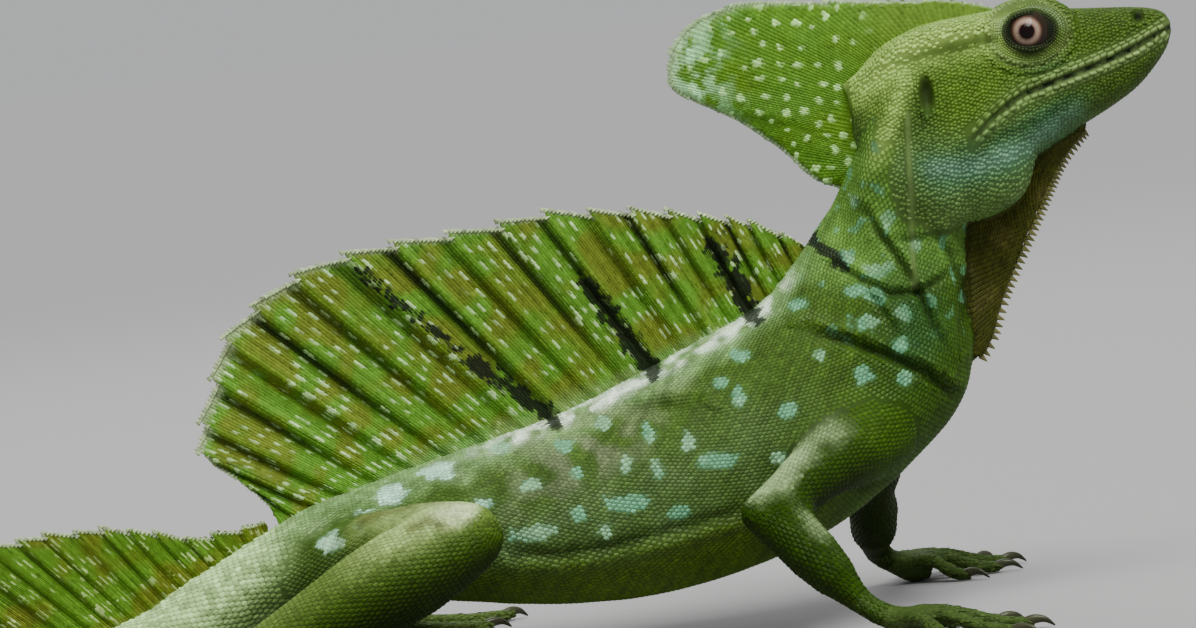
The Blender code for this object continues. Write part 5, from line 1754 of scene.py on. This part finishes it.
# %% A finish and its nodes
class Finish:
    """A material under construction."""

    def __init__(self, name):
        self.material = bpy.data.materials.new(name)
        self.material.use_nodes = True
        self.tree = self.material.node_tree
        self.shader = self.tree.nodes["Principled BSDF"]

    def node(self, kind, settings=None, inputs=None, output=0):
        """Adds a node, sets it up, feeds its sockets and gives one of its outputs."""
        made = self.tree.nodes.new(kind)
        for key, value in (settings or {}).items():
            if key == "stops":
                ramp = made.color_ramp
                while len(ramp.elements) < len(value):
                    ramp.elements.new(0.5)
                for element, (place, colour) in zip(ramp.elements, value):
                    element.position, element.color = place, (*colour, 1.0)
            else:
                setattr(made, key, value)
        for key, value in (inputs or {}).items():
            self.feed(made.inputs[key], value)
        return Socket(self, made.outputs[output])

    def feed(self, socket, value):
        """Links a socket or sets its value."""
        if isinstance(value, Socket):
            self.tree.links.new(value.socket, socket)
        else:
            socket.default_value = value

    def set(self, **inputs):
        """Feeds sockets of the main shader, with _ for the spaces in their names."""
        for name, value in inputs.items():
            self.feed(self.shader.inputs[name.replace("_", " ")], value)

    def tint(self, blend, factor, first, second):
        """Mixes two colours."""
        settings = {"data_type": "RGBA", "blend_type": blend}
        return self.node("ShaderNodeMix", settings, {0: factor, 6: first, 7: second}, 2)

    def grey(self, shade):
        """A number as a colour."""
        return self.node("ShaderNodeCombineColor", None, {0: shade, 1: shade, 2: shade})

    def noise(self, scale, detail=3.0, where=None):
        """Noise on the object's own coordinates."""
        where = where or self.node("ShaderNodeTexCoord", None, None, "Object")
        return self.node("ShaderNodeTexNoise", None, {"Vector": where, "Scale": scale, "Detail": detail}, "Fac")


# %% Finishes of skin and scales
GRAIN_DEPTH, SHINE_TINT = 0.0002, (0.88, 1.0, 0.72, 1.0)


def hide_finish(name, rough, vary, bump_scale, bump, shine):
    """Skin or scale: the stored markings and painted light and shade, varied a little, with a fine grain in the
    relief.
    """
    finish = Finish(name)
    markings = finish.node("ShaderNodeVertexColor", {"layer_name": "Markings"}, None, "Color")
    patch, speck = finish.noise(260.0), finish.noise(1500.0, 2.0)
    shade = finish.grey(0.62 + vary * patch + (0.76 - vary) * speck)
    finish.set(Base_Color=finish.tint("MULTIPLY", 1.0, markings, shade), Roughness=rough + 0.22 * (patch - 0.5))
    grain = finish.noise(bump_scale, 4.0)
    relief = finish.node("ShaderNodeBump", None, {"Strength": bump, "Distance": GRAIN_DEPTH, "Height": grain})
    finish.set(Normal=relief, Specular_IOR_Level=shine, Specular_Tint=SHINE_TINT)
    return finish.material


skin_finish = hide_finish("skin_between_scales", 0.62, 0.4, 2600.0, 0.5, 0.12)
scale_finish = hide_finish("scales", 0.42, 0.35, 3000.0, 0.25, 0.15)
limb_finish = hide_finish("limb_scales", 0.46, 0.35, 3000.0, 0.25, 0.08)
head_finish = hide_finish("head_plates", 0.38, 0.35, 3000.0, 0.25, 0.2)
crest_skin_finish = hide_finish("crest_membrane", 0.60, 0.4, 2600.0, 0.5, 0.1)
crest_scale_finish = hide_finish("crest_scales", 0.50, 0.35, 3000.0, 0.25, 0.12)
print("finishes made")

# %% [markdown]
# An eye is a ball with a clear swelling over the iris. The iris is pinkish brown with a darker rim,
# and the pupil is round and black. The colours depend only on the distance from the eye's axis, so
# they are worked out in the shader from the ball's own coordinates. Wet gloss comes from a coat.

# %% The eyes
IRIS_RADIUS, PUPIL_RADIUS, CORNEA_RISE = 3.05, 1.4, 0.55
PUPIL_COLOUR = (0.006, 0.002, 0.002, 1)
# Colours of the iris from its middle to the dark skin of the eye round it.
IRIS_STOPS = (
    (0.0, (0.03, 0.012, 0.01)), (0.46, (0.09, 0.045, 0.03)), (0.54, (0.21, 0.135, 0.095)),
    (0.66, (0.31, 0.235, 0.175)), (0.78, (0.23, 0.14, 0.095)), (0.90, (0.060, 0.032, 0.020)),
    (1.0, (0.022, 0.014, 0.008)),
)


def eye_axis(side):
    """The direction an eye looks in: out to the side, a little back and up."""
    return unit(np.array((-0.105, side * 1.0, 0.035)))


def eye_ball(name, side):
    """An eyeball with a bulging cornea, in millimetres round its own centre, then put in place."""
    bm = bmesh.new()
    bmesh.ops.create_uvsphere(bm, u_segments=96, v_segments=64, radius=EYE_RADIUS * MM)
    for vert in bm.verts:
        out = math.hypot(vert.co.x, vert.co.y) / MM
        if vert.co.z > 0 and out < IRIS_RADIUS:
            vert.co.z += CORNEA_RISE * MM * math.cos(out / IRIS_RADIUS * math.pi / 2) ** 2
    turn = Vector((0, 0, 1)).rotation_difference(Vector(eye_axis(side))).to_matrix().to_4x4()
    centre = Vector(to_model(beside(EYE_CENTRE, side)))
    bmesh.ops.transform(bm, matrix=Matrix.Translation(centre) @ turn, verts=bm.verts)
    obj = object_from(name, bm)
    shade_smooth(obj)
    return obj


# %% Finish of the eyes
def eye_finish(name, side):
    """Pupil, iris with fine spokes, dark rim, and the dark skin of the eye beyond it."""
    finish = Finish(name)
    where = finish.node("ShaderNodeTexCoord", None, None, "Object")
    centre = to_model(beside(EYE_CENTRE, side))
    apart = finish.node("ShaderNodeVectorMath", {"operation": "SUBTRACT"}, {0: where, 1: tuple(centre)})
    axis = tuple(eye_axis(side))
    cross = finish.node("ShaderNodeVectorMath", {"operation": "CROSS_PRODUCT"}, {0: apart, 1: axis})
    off_axis = finish.node("ShaderNodeVectorMath", {"operation": "LENGTH"}, {0: cross}, "Value") / MM
    direction = finish.node("ShaderNodeVectorMath", {"operation": "NORMALIZE"}, {0: cross})
    spokes = finish.noise(9.0, 4.0, direction)
    reach = off_axis / IRIS_RADIUS + 0.10 * (spokes - 0.5)
    iris = finish.node("ShaderNodeValToRGB", {"stops": IRIS_STOPS}, {"Fac": reach}, "Color")
    iris = finish.tint("MULTIPLY", 0.8, iris, finish.grey(0.55 + 0.9 * spokes))
    pupil = 1 - off_axis.over(PUPIL_RADIUS - 0.12, PUPIL_RADIUS + 0.12)
    finish.set(Base_Color=finish.tint("MIX", pupil, iris, PUPIL_COLOUR), Roughness=0.25)
    finish.set(Coat_Weight=0.45, Coat_Roughness=0.03, Coat_IOR=1.30, Specular_IOR_Level=0.05)
    return finish.material


eyes = {}
for name, side in (("eye_right", RIGHT), ("eye_left", LEFT)):
    eyes[name] = eye_ball(f"{name}_ball", side)
    eyes[name].data.materials.append(eye_finish(f"{name}_finish", side))
print("eyes:", list(eyes))

# %% [markdown]
# Claws are short dark hooks, flattened from side to side, with a paler root. They are worn smooth,
# so they shine more than the skin.

# %% Claws
CLAW_TIP, CLAW_ROOT = (0.012, 0.010, 0.006), (0.040, 0.042, 0.020)


def claw_colour(mesh, tubes, counts):
    """Dark horn that is paler near its root."""
    far = to_sizes(coordinates(mesh)) - np.repeat([tube.path[-1] for tube in tubes], counts, axis=0)
    share = np.linalg.norm(far, axis=1) / CLAW_LENGTH
    return paint(np.tile(CLAW_TIP, (len(far), 1)), share, CLAW_ROOT)


horn = bmesh.new()
counts = []
for tube in all_claws:
    bm = tube.form(26, 14)
    counts.append(add_form(horn, bm))
    bm.free()
claws = object_from("claws", horn)
store_colour(claws.data, "Markings", claw_colour(claws.data, all_claws, counts))
shade_smooth(claws)
claws.data.materials.append(hide_finish("horn", 0.34, 0.3, 1800.0, 0.3, 0.3))
print("claws:", len(counts))

# %% [markdown]
# Every piece now gets its finish, and the solids it stands for are hidden. The skin stands for all
# the soft solids together, because it runs without a seam from head to tail and toes. Each fin stands
# for its crest and each ball for its eye. Scales and claws replace no solid, and all ride on one body.

# %% Giving every piece its finish, body and nodes
FLESH = ["neck", "torso", "tail_base", "tail_upper", "tail_middle", "tail_lower", "tail_tip", "head", "dewlap"]
for word in ("right", "left"):
    FLESH += [f"{part}_{word}" for part in ("upper_arm", "forearm", "hand", "thigh", "shank", "foot")]


def dress(piece, finish, nodes):
    """Finishes a piece, hangs it on the body and hides the solids it stands for."""
    if finish is not None:
        piece.data.materials.clear()
        piece.data.materials.append(finish)
    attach(piece, "root")
    if nodes:
        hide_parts(*nodes)


dress(skin, skin_finish, FLESH)
for piece in scale_pieces:
    on_head, on_limb = (piece.name.startswith(words) for words in (("head", "lip", "lid"), ("fore", "hind", "toe")))
    dress(piece, head_finish if on_head else limb_finish if on_limb else scale_finish, [])
for name, fin in crest_objects.items():
    dress(fin, crest_skin_finish, [name])
    for piece in crest_scale_objects[name]:
        dress(piece, crest_scale_finish, [])
for name, eye in eyes.items():
    dress(eye, None, [name])
dress(claws, None, [])
shown = [obj for obj in bpy.context.scene.objects if obj.type == "MESH" and not obj.hide_render]
print("triangles in all:", sum(triangles_of(obj) for obj in shown))

# %% [markdown]
# The stage is a plain pale floor under a pale sky. The main light is wide and high, like a bright
# cloud, so backs and the tops of limbs are light and undersides are dark. It lights the whole floor
# evenly, so floor and sky can be given one tone and no horizon shows. Two small soft lights add
# gloss and lift the edge of the crests. The camera stands level with the animal's side, and turns a
# little, because the animal climbs to the right in its picture.

# %% Stage, lights and camera
FLOOR_HEIGHT, FLOOR_TONE = -0.0002, (0.3315, 0.3315, 0.328, 1)
SKY_TONE, SKY_POWER = (0.97, 0.98, 1.0, 1), 0.52
CLOUD_POWER, CLOUD_WIDTH = 3.6, math.radians(30.0)
floor_mesh = bmesh.new()
bmesh.ops.create_grid(floor_mesh, x_segments=2, y_segments=2, size=40.0)
bmesh.ops.translate(floor_mesh, vec=(0, 0, FLOOR_HEIGHT), verts=floor_mesh.verts)
floor = object_from("floor", floor_mesh)
floor_finish = Finish("pale_floor")
floor_finish.set(Base_Color=FLOOR_TONE, Roughness=0.85)
floor.data.materials.append(floor_finish.material)

world = bpy.data.worlds.new("studio")
bpy.context.scene.world = world
world.use_nodes = True
sky = world.node_tree.nodes["Background"]
sky.inputs[0].default_value, sky.inputs[1].default_value = SKY_TONE, SKY_POWER


# %% Lights
def soft_light(name, place, aim, size, power, colour=(1, 1, 1)):
    """A square area light that looks at a point. Sizes are metres."""
    data = bpy.data.lights.new(name, "AREA")
    data.shape, data.size, data.energy, data.color = "SQUARE", size, power, colour
    obj = linked(name, data)
    obj.location = place
    obj.rotation_euler = (Vector(aim) - Vector(place)).to_track_quat("-Z", "Y").to_euler()


AIM = to_model((-59.1, 0.0, 63.7))
soft_light("key", (0.20, -0.45, 1.0), AIM, 0.45, 4.5, (1.0, 0.98, 0.94))
soft_light("rim", (0.0, 0.9, 0.9), AIM, 0.8, 4.0)
sun = linked("high_light", bpy.data.lights.new("high_light", "SUN"))
sun.data.energy, sun.data.angle = CLOUD_POWER, CLOUD_WIDTH
sun.rotation_euler = Vector((-0.30, 0.55, -1.0)).to_track_quat("-Z", "Y").to_euler()

# %% The camera
LENS, SENSOR, VIEW_WIDTH, ROLL = 150.0, 36.0, 0.2257, math.radians(7.0)
ELEVATION = math.radians(3.4)
camera = linked("camera", bpy.data.cameras.new("camera"))
camera.data.lens = LENS
camera.data.sensor_width = SENSOR
camera.data.clip_start = 0.01
reach = VIEW_WIDTH * LENS / SENSOR
back = Vector((0.0, -math.cos(ELEVATION), math.sin(ELEVATION)))
place = Vector(AIM) + back * reach
facing = (-back).to_track_quat("-Z", "Y").to_matrix().to_4x4()
camera.matrix_world = Matrix.Translation(place) @ facing @ Matrix.Rotation(-ROLL, 4, "Z")
bpy.context.scene.camera = camera
print("camera stands", round(reach, 3), "m away")
